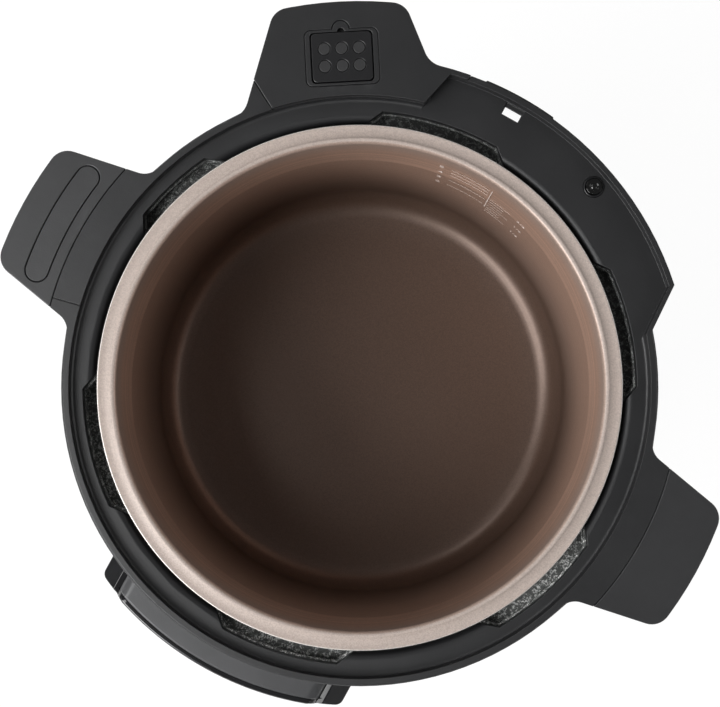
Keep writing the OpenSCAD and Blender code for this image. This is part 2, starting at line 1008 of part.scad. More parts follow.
module heater_plate() {
    color("#b9bcc0")
        rotate_extrude($fn = smooth)
            polygon([
                [cup_r + 0.4, heater_low_z],
                [heater_r - 8, heater_low_z],
                [heater_r, heater_low_z + 5],
                [heater_r, heater_z - 3],
                [heater_r - 4, heater_z],
                [cup_r + 1.2, heater_z],
                [cup_r + 0.4, heater_z - 0.8]
            ]);
}

// Tubular element under the plate, its two cold ends going down through the outer pot
module heating_element() {
    z = heater_low_z - element_r - fit;
    color("#8c8f93") {
        rotate([0, 0, 90 + element_gap / 2])
            rotate_extrude(angle = 360 - element_gap, $fn = smooth)
                translate([element_at_r, z])
                    circle(r = element_r, $fn = small);
        for (s = [-1, 1])
            rotate(90 + s * element_gap / 2)
                translate([element_at_r, 0, z - 16])
                    cylinder(r = 3.2, h = 16, $fn = small);
    }
}

module heater_posts() {
    color("silver")
        for (k = [0:2])
            rotate(30 + 120 * k)
                translate([post_at_r, 0, can_z])
                    cylinder(r = 5, h = post_h, $fn = small);
}

cup_t = 1.4;
cup_h = 14;
module sensor_cup() {
    color("#c9ccd0")
        difference() {
            translate([0, 0, heater_z - cup_h])
                cylinder(r = cup_r, h = cup_h, $fn = small);
            translate([0, 0, heater_z - cup_h - 1])
                cylinder(r = cup_r - cup_t, h = cup_h + 1 - 2.4, $fn = small);
        }
}

retainer_z = heater_low_z - post_h - 0.6;
retainer_t = 1.4;
module sensor_spring() {
    color("silver")
        translate([0, 0, retainer_z + retainer_t])
            coil_spring(12, 1.2, heater_z - 2.4 - retainer_z - retainer_t, 5);
}

// Cup that hangs under the heater plate and seats the sensor's spring
module sensor_retainer() {
    r = cup_r + 1.6;
    color("silver")
        rotate_extrude($fn = smooth)
            polygon([
                [8, retainer_z],
                [r + retainer_t, retainer_z],
                [r + retainer_t, heater_low_z - retainer_t],
                [r + 10, heater_low_z - retainer_t],
                [r + 10, heater_low_z],
                [r, heater_low_z],
                [r, retainer_z + retainer_t],
                [8, retainer_z + retainer_t]
            ]);
}

// ---------------------------------------------------------------- base and inner carriers

spacer_h = 9;
spacer_at_r = 88;
shield_t = 1;
shield_z = can_z - can_t - spacer_h;
shield_r = 112;
boss_z = shield_z - shield_t;

module heat_shield() {
    color("#a9adb1")
        translate([0, 0, boss_z])
            difference() {
                union() {
                    cylinder(r = shield_r, h = shield_t, $fn = smooth);
                    tube(shield_r - shield_t, shield_r, 6);
                }
                translate([0, 0, -1]) {
                    cylinder(r = 38, h = 3, $fn = smooth);
                    for (s = [-1, 1])
                        rotate(90 + s * element_gap / 2)
                            translate([element_at_r, 0, 0])
                                cylinder(r = 7, h = 3, $fn = small);
                }
            }
}

module pot_spacers() {
    color("#d8d4c8")
        for (k = [0:2])
            rotate(90 + 120 * k)
                translate([spacer_at_r, 0, shield_z])
                    cylinder(r = 6, h = spacer_h, $fn = small);
}

// Sprung strip under the outer pot that moves the pressure switch
strip_z = can_z - can_t - 4;
module pressure_plate() {
    color("#9da1a6") {
        difference() {
            translate([-52, -12, strip_z - 1.2])
                cube([104, 24, 1.2]);
            translate([0, 0, strip_z - 3])
                cylinder(r = 5, h = 5, $fn = small);
        }
        for (s = [-1, 1])
            translate([s * 44, 0, strip_z])
                cylinder(r = 6, h = can_z - can_t - strip_z, $fn = small);
    }
}

module pressure_switch() {
    color("#33363a") {
        translate([8, -5, strip_z - 1.2 - 1])
            cube([28, 10, 1]);
        translate([10, -5, strip_z - 1.2 - 13])
            cube([24, 10, 12]);
    }
}

module thermal_fuse() {
    color("#c8c4b6") {
        translate([-60, 30, can_z - can_t - 5.4])
            rotate([0, 90, 0])
                cylinder(r = 3, h = 26, $fn = small);
        translate([-52, 25, can_z - can_t - 2.4])
            cube([10, 10, 2.4]);
    }
}

inlet_z = foot_h + 21;
inlet_y = sleeve_r + 1.4;
inlet_w = 27.4;
inlet_h = 19.6;
inlet_d = 24;
pad_w = 54;
pad_h = 28;

// Solid form of the base, before it is hollowed
module base_form() {
    c = 16;
    rotate_extrude($fn = smooth)
        polygon(concat(
            [[0, foot_h], [sleeve_r - c, foot_h]],
            arc([sleeve_r - c, foot_h + c], c, -90, 0, 8),
            [[sleeve_r, sleeve_low_z], [lap_r, sleeve_low_z], [lap_r, sleeve_low_z + 8]],
            [[0, sleeve_low_z + 8]]
        ));
    translate([-pad_w / 2, inlet_y - 20, inlet_z - pad_h / 2])
        cube([pad_w, 20, pad_h]);
}

// Space inside the base
module base_void() {
    c = 14;
    r = lap_r - base_t;
    rotate_extrude($fn = smooth)
        polygon(concat(
            [[0, base_in_z], [r - c, base_in_z]],
            arc([r - c, base_in_z + c], c, -90, 0, 8),
            [[r, sleeve_low_z + 9], [0, sleeve_low_z + 9]]
        ));
}

module base_cover() {
    color("#242426")
        difference() {
            union() {
                difference() {
                    base_form();
                    base_void();
                }
                for (k = [0:2])
                    rotate(90 + 120 * k)
                        translate([spacer_at_r, 0, foot_h + 1])
                            cylinder(r = 6, h = boss_z - foot_h - 1, $fn = small);
            }
            for (k = [0:2])
                rotate(90 + 120 * k)
                    translate([spacer_at_r, 0, foot_h - 1]) {
                        cylinder(r = head_r + fit, h = head_h + 1.2, $fn = small);
                        cylinder(r = screw_r + fit, h = 26, $fn = small);
                    }
            // vents in the floor
            for (k = [0:23])
                rotate(7.5 + 15 * k)
                    translate([44, -1.6, foot_h - 1])
                        cube([20, 3.2, base_t + 2]);
            // opening for the mains inlet
            translate([-inlet_w / 2 - fit, inlet_y - 40, inlet_z - inlet_h / 2 - fit])
                cube([inlet_w + 2 * fit, 50, inlet_h + 2 * fit]);
            for (s = [-1, 1])
                translate([s * 20, inlet_y + 1, inlet_z])
                    rotate([90, 0, 0])
                        cylinder(r = 1.5 + fit, h = 9, $fn = small);
        }
}

module base_screws() {
    color("silver")
        for (k = [0:2])
            rotate(90 + 120 * k)
                translate([spacer_at_r, 0, foot_h + 0.2])
                    screw(22);
}

module rubber_feet() {
    color("#161616")
        for (k = [0:3])
            rotate(45 + 90 * k)
                translate([foot_at_r, 0, 0])
                    difference() {
                        cylinder(r1 = 9.5, r2 = 11, h = foot_h, $fn = small);
                        translate([0, 0, -1])
                            cylinder(r = 5, h = 2.2, $fn = small);
                    }
}

module outer_sleeve() {
    color("#c4c7ca")
        difference() {
            translate([0, 0, sleeve_low_z])
                tube(sleeve_r - sleeve_t, sleeve_r, sleeve_top_z - sleeve_low_z);
            translate([-15, -sleeve_r - 10, 150])
                cube([30, 20, 20]);
        }
}

// ---------------------------------------------------------------- electrics in the base

carrier_z = base_in_z;
board_z = carrier_z + 10;
board_t = 1.6;
board = [92, 62];
board_y = -28;

module board_carrier() {
    color("#dcd8cc")
        translate([0, board_y, carrier_z])
            difference() {
                union() {
                    translate([-board[0] / 2 - 3, -board[1] / 2 - 3, 0])
                        cube([board[0] + 6, board[1] + 6, 2]);
                    for (x = [-1, 1], y = [-1, 1])
                        translate([x * (board[0] / 2 - 5), y * (board[1] / 2 - 5), 0])
                            cylinder(r = 3.5, h = board_z - carrier_z, $fn = small);
                }
                translate([0, 0, -1])
                    cylinder(r = 18, h = 4, $fn = small);
            }
}

module power_board() {
    color("#2f5d3a")
        translate([-board[0] / 2, board_y - board[1] / 2, board_z])
            cube([board[0], board[1], board_t]);
}

module on_board(x, y) {
    translate([x, board_y + y, board_z + board_t]) children();
}

module transformer() {
    color("#3a3228")
        on_board(-24, 8) {
            translate([-14, -12, 0]) cube([28, 24, 6]);
            translate([-16, -9, 6]) cube([32, 18, 14]);
        }
}

module relay() {
    color("#1f4fa0")
        on_board(16, 12)
            translate([-10, -8, 0]) cube([20, 16, 16]);
}

module capacitors() {
    color("#22242c") {
        on_board(2, -14) cylinder(r = 6, h = 17, $fn = small);
        on_board(18, -15) cylinder(r = 5, h = 14, $fn = small);
    }
}

module terminal_block() {
    color("#cfcabb")
        on_board(34, -6)
            difference() {
                translate([-6, -16, 0]) cube([12, 32, 11]);
                for (i = [-1:1])
                    translate([0, i * 10, 3])
                        cylinder(r = 2.6, h = 10, $fn = small);
            }
}

// ---------------------------------------------------------------- mains inlet

inlet_flange_t = 2.5;
module inlet_socket() {
    color("#19191b")
        difference() {
            union() {
                translate([-inlet_w / 2, inlet_y - inlet_d, inlet_z - inlet_h / 2])
                    cube([inlet_w, inlet_d + eps, inlet_h]);
                translate([-25, inlet_y, inlet_z - 12])
                    cube([50, inlet_flange_t, 24]);
            }
            translate([-12.2, inlet_y - 14, inlet_z - 8.2])
                cube([24.4, 30, 16.4]);
            for (s = [-1, 1])
                translate([s * 20, inlet_y + 10, inlet_z])
                    rotate([90, 0, 0])
                        cylinder(r = 1.5 + fit, h = 20, $fn = small);
        }
}

module inlet_blades() {
    color("#c9c4b0")
        for (p = [[-7, -1.5], [0, 2.5], [7, -1.5]])
            translate([p[0] - 1, inlet_y - 14, inlet_z + p[1] - 2])
                cube([2, 11, 4]);
}

module inlet_screws() {
    color("silver")
        for (s = [-1, 1])
            translate([s * 20, inlet_y + inlet_flange_t, inlet_z])
                rotate([90, 0, 0]) {
                    translate([0, 0, -1.4])
                        cylinder(r = 2.8, h = 1.4, $fn = small);
                    cylinder(r = 1.5, h = 8, $fn = small);
                }
}

// ---------------------------------------------------------------- control panel

lean = atan((fascia_low_r - fascia_top_r) / fascia_h);
wall_n = 2.5;
seat = 0.05;
mat_t = 1.2;
fascia_low_z = hood_z - fascia_h;
chin_z = fascia_low_z - 10;
panel_in_r = ring_r + fit;
display_z = hood_z - 52;
key_az = 15.2;
key_pitch_z = 21;
key_top_z = hood_z - 31;

// Radius of the fascia's face, n behind it, at height z
function face_r(z, n) = fascia_top_r + (hood_z - z) * tan(lean) - n / cos(lean);

// Sector of a ring about the front of the cooker, from a section
module front_sector(half) {
    rotate(-90 - half)
        rotate_extrude(angle = 2 * half, $fn = smooth)
            children();
}

// Block of the front between two distances from the panel's middle plane
module front_slab(x0, x1) {
    translate([x0, -200, 0])
        cube([x1 - x0, 140, 300]);
}

// Section of a leaning sheet between two depths and two heights
module sheet_section(n0, n1, z0, z1) {
    polygon([
        [face_r(z0, n1), z0],
        [face_r(z0, n0), z0],
        [face_r(z1, n0), z1],
        [face_r(z1, n1), z1]
    ]);
}

// Places a child on the fascia's face, its +Z pointing out of the face
module on_face(az, z) {
    rotate(-90 + az)
        translate([face_r(z, 0), 0, z])
            rotate([0, 90 - lean, 0])
                children();
}

// Key places: a column of three at each side of the display
function key_at(i) = [(i < 3 ? -1 : 1) * key_az, key_top_z - (i % 3) * key_pitch_z];

module panel_housing() {
    front = fascia_t + seat;
    back = fascia_t + wall_n;
    low_r = face_r(fascia_low_z, 0);
    color("#333335")
        difference() {
            intersection() {
                union() {
                    // hood and front wall
                    front_sector(30)
                        polygon([
                            [face_r(fascia_low_z, back), fascia_low_z],
                            [face_r(fascia_low_z, front), fascia_low_z],
                            [face_r(hood_z - 0.6, front), hood_z - 0.6],
                            [face_r(hood_z, front + 0.6), hood_z],
                            [panel_in_r, hood_z],
                            [panel_in_r, hood_z - 2.6],
                            [face_r(hood_z - 2.6, back), hood_z - 2.6]
                        ]);
                    // chin
                    front_sector(30)
                        polygon([
                            [sleeve_r + fit, chin_z],
                            [low_r - 9, chin_z],
                            [low_r - 3, chin_z + 3],
                            [low_r, fascia_low_z - seat],
                            [low_r - back - 0.5, fascia_low_z - seat],
                            [low_r - back, fascia_low_z + 2],
                            [low_r - back - 2.4, fascia_low_z + 2],
                            [low_r - back - 3, chin_z + 5],
                            [sleeve_r + fit, chin_z + 2.6]
                        ]);
                    // end walls
                    for (s = [-1, 1])
                        intersection() {
                            front_sector(30) end_section(back);
                            front_slab(s * (hood_w / 2 - 1.3) - 1.3, s * (hood_w / 2 - 1.3) + 1.3);
                        }
                }
                front_slab(-hood_w / 2, hood_w / 2);
            }
            for (i = [0:5])
                on_face(key_at(i)[0], key_at(i)[1])
                    translate([0, 0, -fascia_t - wall_n - 1])
                        cylinder(r = key_r + 1.7, h = wall_n + 2, $fn = small);
            // opening behind the display lens
            front_sector(display_half - 1)
                sheet_section(fascia_t - 1, back + 1, display_z - display_h / 2 + 2,
                    display_z + display_h / 2 - 2);
        }
    // posts of the control board
    color("#333335")
        for (x = [-1, 1], z = [0, 1])
            translate([x * cpost_x, -cboard_y, cboard_z + 5 + z * (cboard_h - 10)])
                rotate([90, 0, 0])
                    cylinder(r = 3, h = post_reach(z), $fn = small);
}

// Section between the cooker's side and a depth behind the fascia's face
module end_section(n) {
    polygon([
        [sleeve_r + fit, chin_z + 1],
        [face_r(fascia_low_z, n) - 4, chin_z + 1],
        [face_r(fascia_low_z, n), fascia_low_z - seat],
        [face_r(hood_z, n), hood_z - 0.1],
        [panel_in_r, hood_z - 0.1],
        [panel_in_r, skirt_z - fit],
        [sleeve_r + fit, skirt_z - fit]
    ]);
}

// Glossy cheek at one end of the panel, its top sloping down outwards; a shell
module cheek(side) {
    difference() {
        cheek_form(side, 0);
        cheek_form(side, 2.2);
    }
}

cheek_drop = 9;
// Solid form of a cheek, its walls set in by t
module cheek_form(side, t) {
    w = (panel_w - hood_w) / 2;
    intersection() {
        front_sector(34)
            polygon([
                [sleeve_r + fit - t * 2, chin_z + t],
                [face_r(fascia_low_z, t) - 9, chin_z + t],
                [face_r(fascia_low_z, t) - 3, chin_z + 3 + t],
                [face_r(fascia_low_z, t), fascia_low_z],
                [face_r(hood_z, t), hood_z],
                [panel_in_r - t * 2, hood_z],
                [panel_in_r - t * 2, skirt_z - fit],
                [sleeve_r + fit - t * 2, skirt_z - fit]
            ]);
        mirror([side < 0 ? 1 : 0, 0, 0])
            translate([0, -60, 0])
                rotate([90, 0, 0])
                    linear_extrude(140)
                        polygon([
                            [hood_w / 2 + seat - t * 2, 0],
                            [panel_w / 2 - t, 0],
                            [panel_w / 2 - t, hood_z - cheek_drop - t * 1.2],
                            [hood_w / 2 + seat + w * 0.25, hood_z - 1 - t * 1.2],
                            [hood_w / 2 + seat - t * 2, hood_z - 1 - t * 1.2]
                        ]);
    }
}
cboard_w = 80;
cpost_x = 26;
cboard_h = 62;
cboard_t = 1.6;
cboard_y = sleeve_r + 6.2;
cboard_z = hood_z - 92;
// Length of a board post, from the board to just inside the front wall
function post_reach(z) = sqrt(pow(face_r(cboard_z + 5 + z * (cboard_h - 10), fascia_t + 1.2), 2)
    - pow(cpost_x + 3, 2)) - cboard_y;

module fascia() {
    color("#0d0d0f") {
        difference() {
            intersection() {
                front_sector(34)
                    polygon([
                        [face_r(fascia_low_z, fascia_t), fascia_low_z],
                        [face_r(fascia_low_z, 0.6), fascia_low_z],
                        [face_r(fascia_low_z + 1, 0), fascia_low_z + 1],
                        [face_r(hood_z - 1.8, 0), hood_z - 1.8],
                        [face_r(hood_z - 1, 0.6), hood_z - 1],
                        [face_r(hood_z - 1, fascia_t), hood_z - 1]
                    ]);
                front_slab(-hood_w / 2 - 1, hood_w / 2 + 1);
            }
            for (i = [0:5])
                on_face(key_at(i)[0], key_at(i)[1])
                    translate([0, 0, -fascia_t - 1])
                        cylinder(r = key_r + slide, h = fascia_t + 3, $fn = small);
            front_sector(display_half)
                sheet_section(-1, fascia_t + 1, display_z - display_h / 2, display_z + display_h / 2);
        }
        for (s = [-1, 1])
            cheek(s);
    }
}

module display_lens() {
    color("#1a2228")
        front_sector(display_half - 0.05)
            sheet_section(0.1, fascia_t, display_z - display_h / 2 + fit,
                display_z + display_h / 2 - fit);
}

module control_board() {
    color("#2f5d3a")
        translate([-cboard_w / 2, -cboard_y, cboard_z])
            cube([cboard_w, cboard_t, cboard_h]);
}

module_w = 40;
module_h = 26;
module display_module() {
    front = face_r(display_z + display_h / 2, fascia_t + wall_n) - 2.6;
    color("#dfe3e6")
        translate([-module_w / 2, -front, display_z - module_h / 2])
            cube([module_w, front - cboard_y, module_h]);
}

// Rubber mat behind the front wall, in a strip behind each column of keys
module keypad_mat() {
    back = fascia_t + wall_n;
    color("#5a5a5e")
        for (s = [-1, 1])
            rotate(-90 + s * key_az)
                rotate(-3.7)
                    rotate_extrude(angle = 7.4, $fn = smooth)
                        sheet_section(back + seat, back + mat_t, key_top_z - 2 * key_pitch_z - 10,
                            key_top_z + 10);
}

// A round key with a stop flange behind the fascia
module panel_key(i) {
    color("#2b2b2e")
        on_face(key_at(i)[0], key_at(i)[1])
            difference() {
                union() {
                    translate([0, 0, -fascia_t - 0.5])
                        cylinder(r = key_r, h = fascia_t + 0.9, $fn = small);
                    translate([0, 0, -fascia_t - wall_n + key_travel + apart])
                        cylinder(r = key_r + 1.1, h = wall_n - key_travel - 2 * apart, $fn = small);
                }
                translate([0, 0, 30.2])
                    sphere(r = 30, $fn = 96);
            }
}

base_cover();
rubber_feet();
base_screws();
outer_sleeve();
top_ring();
ring_collar();
left_handle_cap();
right_handle_cap();
left_handle_base();
right_handle_base();
left_handle_inlay();
connector_cap();
connector_base();
handle_screws();
port_block();
port_shutter();
port_spring();
port_housing();
pin_collar();
lid_pin();
lid_pin_spring();
sensor_box();
lid_switch();
condensate_bracket();
bayonet_tray();
bayonet_flange();
outer_pot();
inner_pot();
heater_plate();
heating_element();
heater_posts();
sensor_cup();
sensor_spring();
sensor_retainer();
heat_shield();
pot_spacers();
pressure_plate();
pressure_switch();
thermal_fuse();
board_carrier();
power_board();
transformer();
relay();
capacitors();
terminal_block();
inlet_socket();
inlet_blades();
inlet_screws();
panel_housing();
fascia();
display_lens();
display_module();
control_board();
keypad_mat();
panel_key(0);  // key_1
panel_key(1);  // key_2
panel_key(2);  // key_3
panel_key(3);  // key_4
panel_key(4);  // key_5
panel_key(5);  // key_6
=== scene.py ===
import json
import math

import bmesh
import bpy
from mathutils import Matrix, Vector


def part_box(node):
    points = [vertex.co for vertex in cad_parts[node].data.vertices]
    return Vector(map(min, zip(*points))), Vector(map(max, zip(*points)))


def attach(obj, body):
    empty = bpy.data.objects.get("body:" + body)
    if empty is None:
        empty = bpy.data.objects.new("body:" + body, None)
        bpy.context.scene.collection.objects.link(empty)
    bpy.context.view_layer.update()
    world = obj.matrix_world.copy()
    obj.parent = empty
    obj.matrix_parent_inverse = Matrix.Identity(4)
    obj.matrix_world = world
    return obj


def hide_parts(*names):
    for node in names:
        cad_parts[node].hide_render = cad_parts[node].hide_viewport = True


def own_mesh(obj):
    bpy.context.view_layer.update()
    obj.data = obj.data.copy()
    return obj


bl_info = {
    "name": "Pressure cooker dressing",
    "version": (1, 0, 0),
    "blender": (4, 5, 0),
    "location": "View3D > Sidebar > Cooker",
    "description": "Finishes, pot, level marks, signs and display of an electric pressure cooker",
    "category": "Object",
}

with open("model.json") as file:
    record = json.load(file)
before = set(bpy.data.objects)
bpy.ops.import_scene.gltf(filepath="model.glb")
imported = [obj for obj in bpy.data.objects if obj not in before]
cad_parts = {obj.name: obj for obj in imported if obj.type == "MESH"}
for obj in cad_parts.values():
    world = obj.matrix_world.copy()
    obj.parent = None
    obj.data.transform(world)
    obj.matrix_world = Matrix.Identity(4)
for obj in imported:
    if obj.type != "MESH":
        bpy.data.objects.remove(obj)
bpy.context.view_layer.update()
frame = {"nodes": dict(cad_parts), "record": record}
NODES = frame["nodes"]
RECORD = frame["record"]
SLOT_OF = {part["node"]: part["material_slot"] for part in RECORD["subparts"]}
BODY_OF = {node: body for body, nodes in RECORD["behaviour"]["bodies"].items() for node in nodes}

MM = 0.001
POT_LOW, POT_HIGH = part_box("inner_pot")
CAP_LOW, CAP_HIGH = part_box("connector_cap")
PIN_LOW, PIN_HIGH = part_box("lid_pin")
FASCIA_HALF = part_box("fascia")[1].x
POT_RIM_R = POT_HIGH.x
RIM_Z = POT_HIGH.z
POT_Z = POT_LOW.z

# Edges that turn by more than this are rounded; faces that turn by less are made one
SHARP_FROM = math.radians(32)
FLAT_WITHIN = math.radians(0.6)

# Roundings of the edges that are crisper or softer than the general one
LENS_EDGE = 0.1 * MM
FINE_EDGE = 0.2 * MM
SMALL_EDGE = 0.3 * MM
ROUND_EDGE = 0.4 * MM
GRIP_EDGE = 0.5 * MM
FOOT_EDGE = 0.6 * MM

# Painted light on the crinkle coating: its base colour and its painted glints are brightest at the
# front right, and fade along a slanted line
PAINTED_LIGHT_SLANT = -0.5
PAINTED_LIGHT_FULL_AT = -110 * MM
PAINTED_LIGHT_FADED_AT = 60 * MM

# The pot's wall steps in below its upper band and rolls over into the flange
STEP_IN = 0.4 * MM
STEP_HALF_H = 4 * MM
STEP_EASE = 0.1 * MM
WALL_TOP = 6 * MM
ROLL_R = 2.2 * MM
FLANGE_W = 7 * MM
# A bead ends the flange: its middle lies in from the edge and down from the rim, and so does its foot
BEAD_R = 0.55 * MM
BEAD_IN = 0.2 * MM
BEAD_DOWN = 1.05 * MM
BEAD_FOOT = 1.6 * MM
# Millimetres out from the wall and down from the rim, under the flange
RIM_UNDER = ((0, 4.5), (0.4, 3.0), (1.6, 1.9))
# Millimetres in from the rim's edge and down from the rim, over the flange
RIM_OVER = ((0.9, 0.9), (3.0, 0.85), (4.8, 0.75), (5.6, 0.3))
# Share of the flat floor's radius and rise in millimetres, because the floor swells to its middle
FLOOR_SWELL = ((0.9, 0.12), (0.6, 0.6), (0.3, 0.9), (0.0, 1.0))

# Level marks on the rear of the pot's wall: azimuths and a bar's sweep in degrees, depths below the rim
MARK_T = 0.06 * MM
MARK_SWEEP = 1.2
LINE_DEPTHS = (20 * MM, 27 * MM, 34 * MM, 48 * MM, 62 * MM)
LINE_FROM, LINE_TO = 96, 85.5
DIVIDER_AZ = 85
DIVIDER_TOP, DIVIDER_LOW = 18 * MM, 66 * MM
LADDER_COUNT = 7
LADDER_FROM, LADDER_LONG, LADDER_SHORT = 84.4, 78, 80
LADDER_TOP, LADDER_PITCH = 40 * MM, 6 * MM
LADDER_THIN = 0.8
# Words, azimuth, depth of the first, pitch and height of the letters
NUMERALS = (
    (("5", "4", "3", "2"), 98.6, 20 * MM, 14 * MM, 6 * MM),
    (("2/3", "1/2", "1/3"), 74.5, 40 * MM, 18 * MM, 4.5 * MM),
)

# The port's raised frame: half width, half depth, corner radius and arch radius of its outlines
PORT_AZ = math.radians(121.9)
PORT_AT_R = 149.9 * MM
FRAME_OUTER = (16.6 * MM, 12.7 * MM, 3 * MM, 3.8 * MM)
FRAME_INNER = (14.2 * MM, 11.5 * MM, 2 * MM, 1.7 * MM)
FRAME_PROUD = 0.2 * MM

# The lid pin ends in a domed button
PIN_BEAD_R = 2.4 * MM

# The front panel leans: its face's radius grows from the top edge down. Its hood rolls down at both
# ends, down to the hood's foot, and the cheeks beside it have rounded front corners
PANEL_TOP_R = 148.8 * MM
PANEL_LOW_R = 162 * MM
PANEL_TOP_Z = 236 * MM
PANEL_H = 108 * MM
LEAN = math.atan((PANEL_LOW_R - PANEL_TOP_R) / PANEL_H)
HOOD_HALF = 53 * MM
HOOD_ROLL = 6 * MM
HOOD_FOOT_Z = PANEL_TOP_Z - 3.4 * HOOD_ROLL
CHEEK_R = 2.4 * MM
CHEEK_FRONT_Y = -130 * MM
CHEEK_MIN_H = 4 * MM

# Two columns of keys with dished faces, the signs printed on them and the display between them
KEY_ROWS = 3
KEY_AZ = math.radians(15.2)
KEY_TOP_Z = PANEL_TOP_Z - 31 * MM
KEY_PITCH = 21 * MM
DISH_R = 30 * MM
DISH_AT = 30.2 * MM
SIGN_T = 0.05 * MM
DISPLAY_Z = PANEL_TOP_Z - 52 * MM
DIGIT_H, DIGIT_W, DIGIT_T = 11.5 * MM, 1.1 * MM, 0.15 * MM
DIGITS = (("0", -12.5 * MM), ("0", -4.5 * MM), ("3", 4.5 * MM), ("5", 12.5 * MM))
COLON_Y, COLON_HALF = 2.2 * MM, 0.6 * MM

# The camera looks straight down, turned about the axis and moved off the pot's middle
VIEW_TURN = math.radians(28.85)
VIEW_LENS = 71.175
VIEW_SENSOR = 36
VIEW_SHIFT_X, VIEW_SHIFT_Y = -0.0125, 0.07153
VIEW_ACROSS, VIEW_DOWN = 4.201 * MM, 7.9 * MM

# The studio, in metres: a round floor that sweeps up into a wall, and softboxes
FLOOR_R, SWEEP_R, WALL_Z = 2.2, 0.8, 2.4
SKY_STRENGTH = 0.18
FLOOR_GLOW = 1.05
AIM = Vector((0, 0, 0.15))
# Softboxes: name, azimuth, distance out, height, side, power
SOFTBOXES = (
    ("softbox_front", -120.0, 1.05, 1.05, 0.9, 21.0),
    ("softbox_left", 165.0, 1.0, 1.0, 0.6, 2.0),
    ("softbox_right", 25.0, 1.1, 0.75, 0.6, 2.2),
    ("softbox_top", -135.0, 0.75, 1.5, 0.6, 4.0),
)


class CookerSizes(bpy.types.PropertyGroup):
    """Sizes that the dressing gives to edges, marks and signs"""

    edge: bpy.props.FloatProperty(
        name="Moulded edge", description="Width of the rounding along moulded edges",
        default=0.00035, min=0.0001, max=0.001, subtype="DISTANCE", unit="LENGTH", precision=5)
    sheet_edge: bpy.props.FloatProperty(
        name="Sheet edge", description="Width of the rounding along sheet metal edges",
        default=0.00015, min=0.00005, max=0.0005, subtype="DISTANCE", unit="LENGTH", precision=5)
    wall_r: bpy.props.FloatProperty(
        name="Pot wall radius", description="Inner radius of the pot's wall",
        default=0.1115, min=0.108, max=0.1125, subtype="DISTANCE", unit="LENGTH", precision=4)
    wall_t: bpy.props.FloatProperty(
        name="Pot wall", description="Thickness of the pot's wall",
        default=0.0015, min=0.001, max=0.0025, subtype="DISTANCE", unit="LENGTH", precision=4)
    corner_r: bpy.props.FloatProperty(
        name="Pot corner", description="Radius where the pot's wall meets its bottom",
        default=0.017, min=0.01, max=0.025, subtype="DISTANCE", unit="LENGTH", precision=4)
    step_depth: bpy.props.FloatProperty(
        name="Wall step", description="Depth below the rim at which the pot's wall narrows",
        default=0.043, min=0.02, max=0.07, subtype="DISTANCE", unit="LENGTH", precision=4)
    mark_w: bpy.props.FloatProperty(
        name="Level mark", description="Width of the pot's engraved level marks",
        default=0.0004, min=0.0002, max=0.001, subtype="DISTANCE", unit="LENGTH", precision=5)
    sign_w: bpy.props.FloatProperty(
        name="Key sign", description="Width of the strokes of the key signs",
        default=0.00065, min=0.0003, max=0.0012, subtype="DISTANCE", unit="LENGTH", precision=5)
    camera_height: bpy.props.FloatProperty(
        name="Camera height", description="Height of the camera above the pot's rim",
        default=0.65, min=0.3, max=2.0, subtype="DISTANCE", unit="LENGTH")


def colour_property(label, what, value):
    return bpy.props.FloatVectorProperty(
        name=label, description=what, default=value, min=0.0, max=1.0, size=3, subtype="COLOR")


class CookerColours(bpy.types.PropertyGroup):
    """Colours of the finishes that a user would change"""

    ring: colour_property("Ring", "Moulded plastic of the top ring", (0.0138, 0.0140, 0.0150))
    handle: colour_property(
        "Handles", "Moulded plastic of the side handles", (0.024, 0.0242, 0.0255))
    hood: colour_property(
        "Panel hood", "Moulded plastic of the panel's hood", (0.050, 0.0505, 0.053))
    gloss: colour_property("Fascia", "Glossy plastic of the control panel", (0.006, 0.006, 0.007))
    base: colour_property(
        "Base", "Moulded plastic of the base and the undersides", (0.022, 0.022, 0.023))
    pot: colour_property("Pot coating", "Coating inside the pot", (0.420, 0.272, 0.205))
    rim: colour_property("Pot rim", "Coating on the pot's rim", (0.440, 0.365, 0.325))
    steel: colour_property("Sleeve", "Brushed steel of the sleeve", (0.560, 0.555, 0.550))
    crinkle: colour_property(
        "Inner shell", "Crinkle coating of the shell round the pot", (0.020, 0.021, 0.020))
    sign: colour_property("Signs", "Printed signs on the keys", (0.700, 0.700, 0.700))
    digits: colour_property("Digits", "Lit segments of the display", (0.900, 0.220, 0.060))


def sizes():
    return bpy.context.scene.cooker_sizes


def colours():
    return bpy.context.scene.cooker_colours


# ------------------------------------------------------------------ shader groups


def new_group(name, inputs, outputs):
    tree = bpy.data.node_groups.new(name, "ShaderNodeTree")
    for label, kind, value in inputs:
        socket = tree.interface.new_socket(label, in_out="INPUT", socket_type=kind)
        if value is not None:
            socket.default_value = value
    for label, kind in outputs:
        tree.interface.new_socket(label, in_out="OUTPUT", socket_type=kind)
    return tree, tree.nodes.new("NodeGroupInput"), tree.nodes.new("NodeGroupOutput")


def math_node(tree, operation, a, b=None, clamp=False):
    node = tree.nodes.new("ShaderNodeMath")
    node.operation = operation
    node.use_clamp = clamp
    for socket, value in zip(node.inputs, (a, b)):
        if isinstance(value, bpy.types.NodeSocket):
            tree.links.new(value, socket)
        elif value is not None:
            socket.default_value = value
    return node.outputs[0]


def noise(tree, vector, scale, detail=3.0, rough=0.55):
    node = tree.nodes.new("ShaderNodeTexNoise")
    tree.links.new(vector, node.inputs["Vector"])
    if isinstance(scale, bpy.types.NodeSocket):
        tree.links.new(scale, node.inputs["Scale"])
    else:
        node.inputs["Scale"].default_value = scale
    node.inputs["Detail"].default_value = detail
    node.inputs["Roughness"].default_value = rough
    return node.outputs["Fac"]


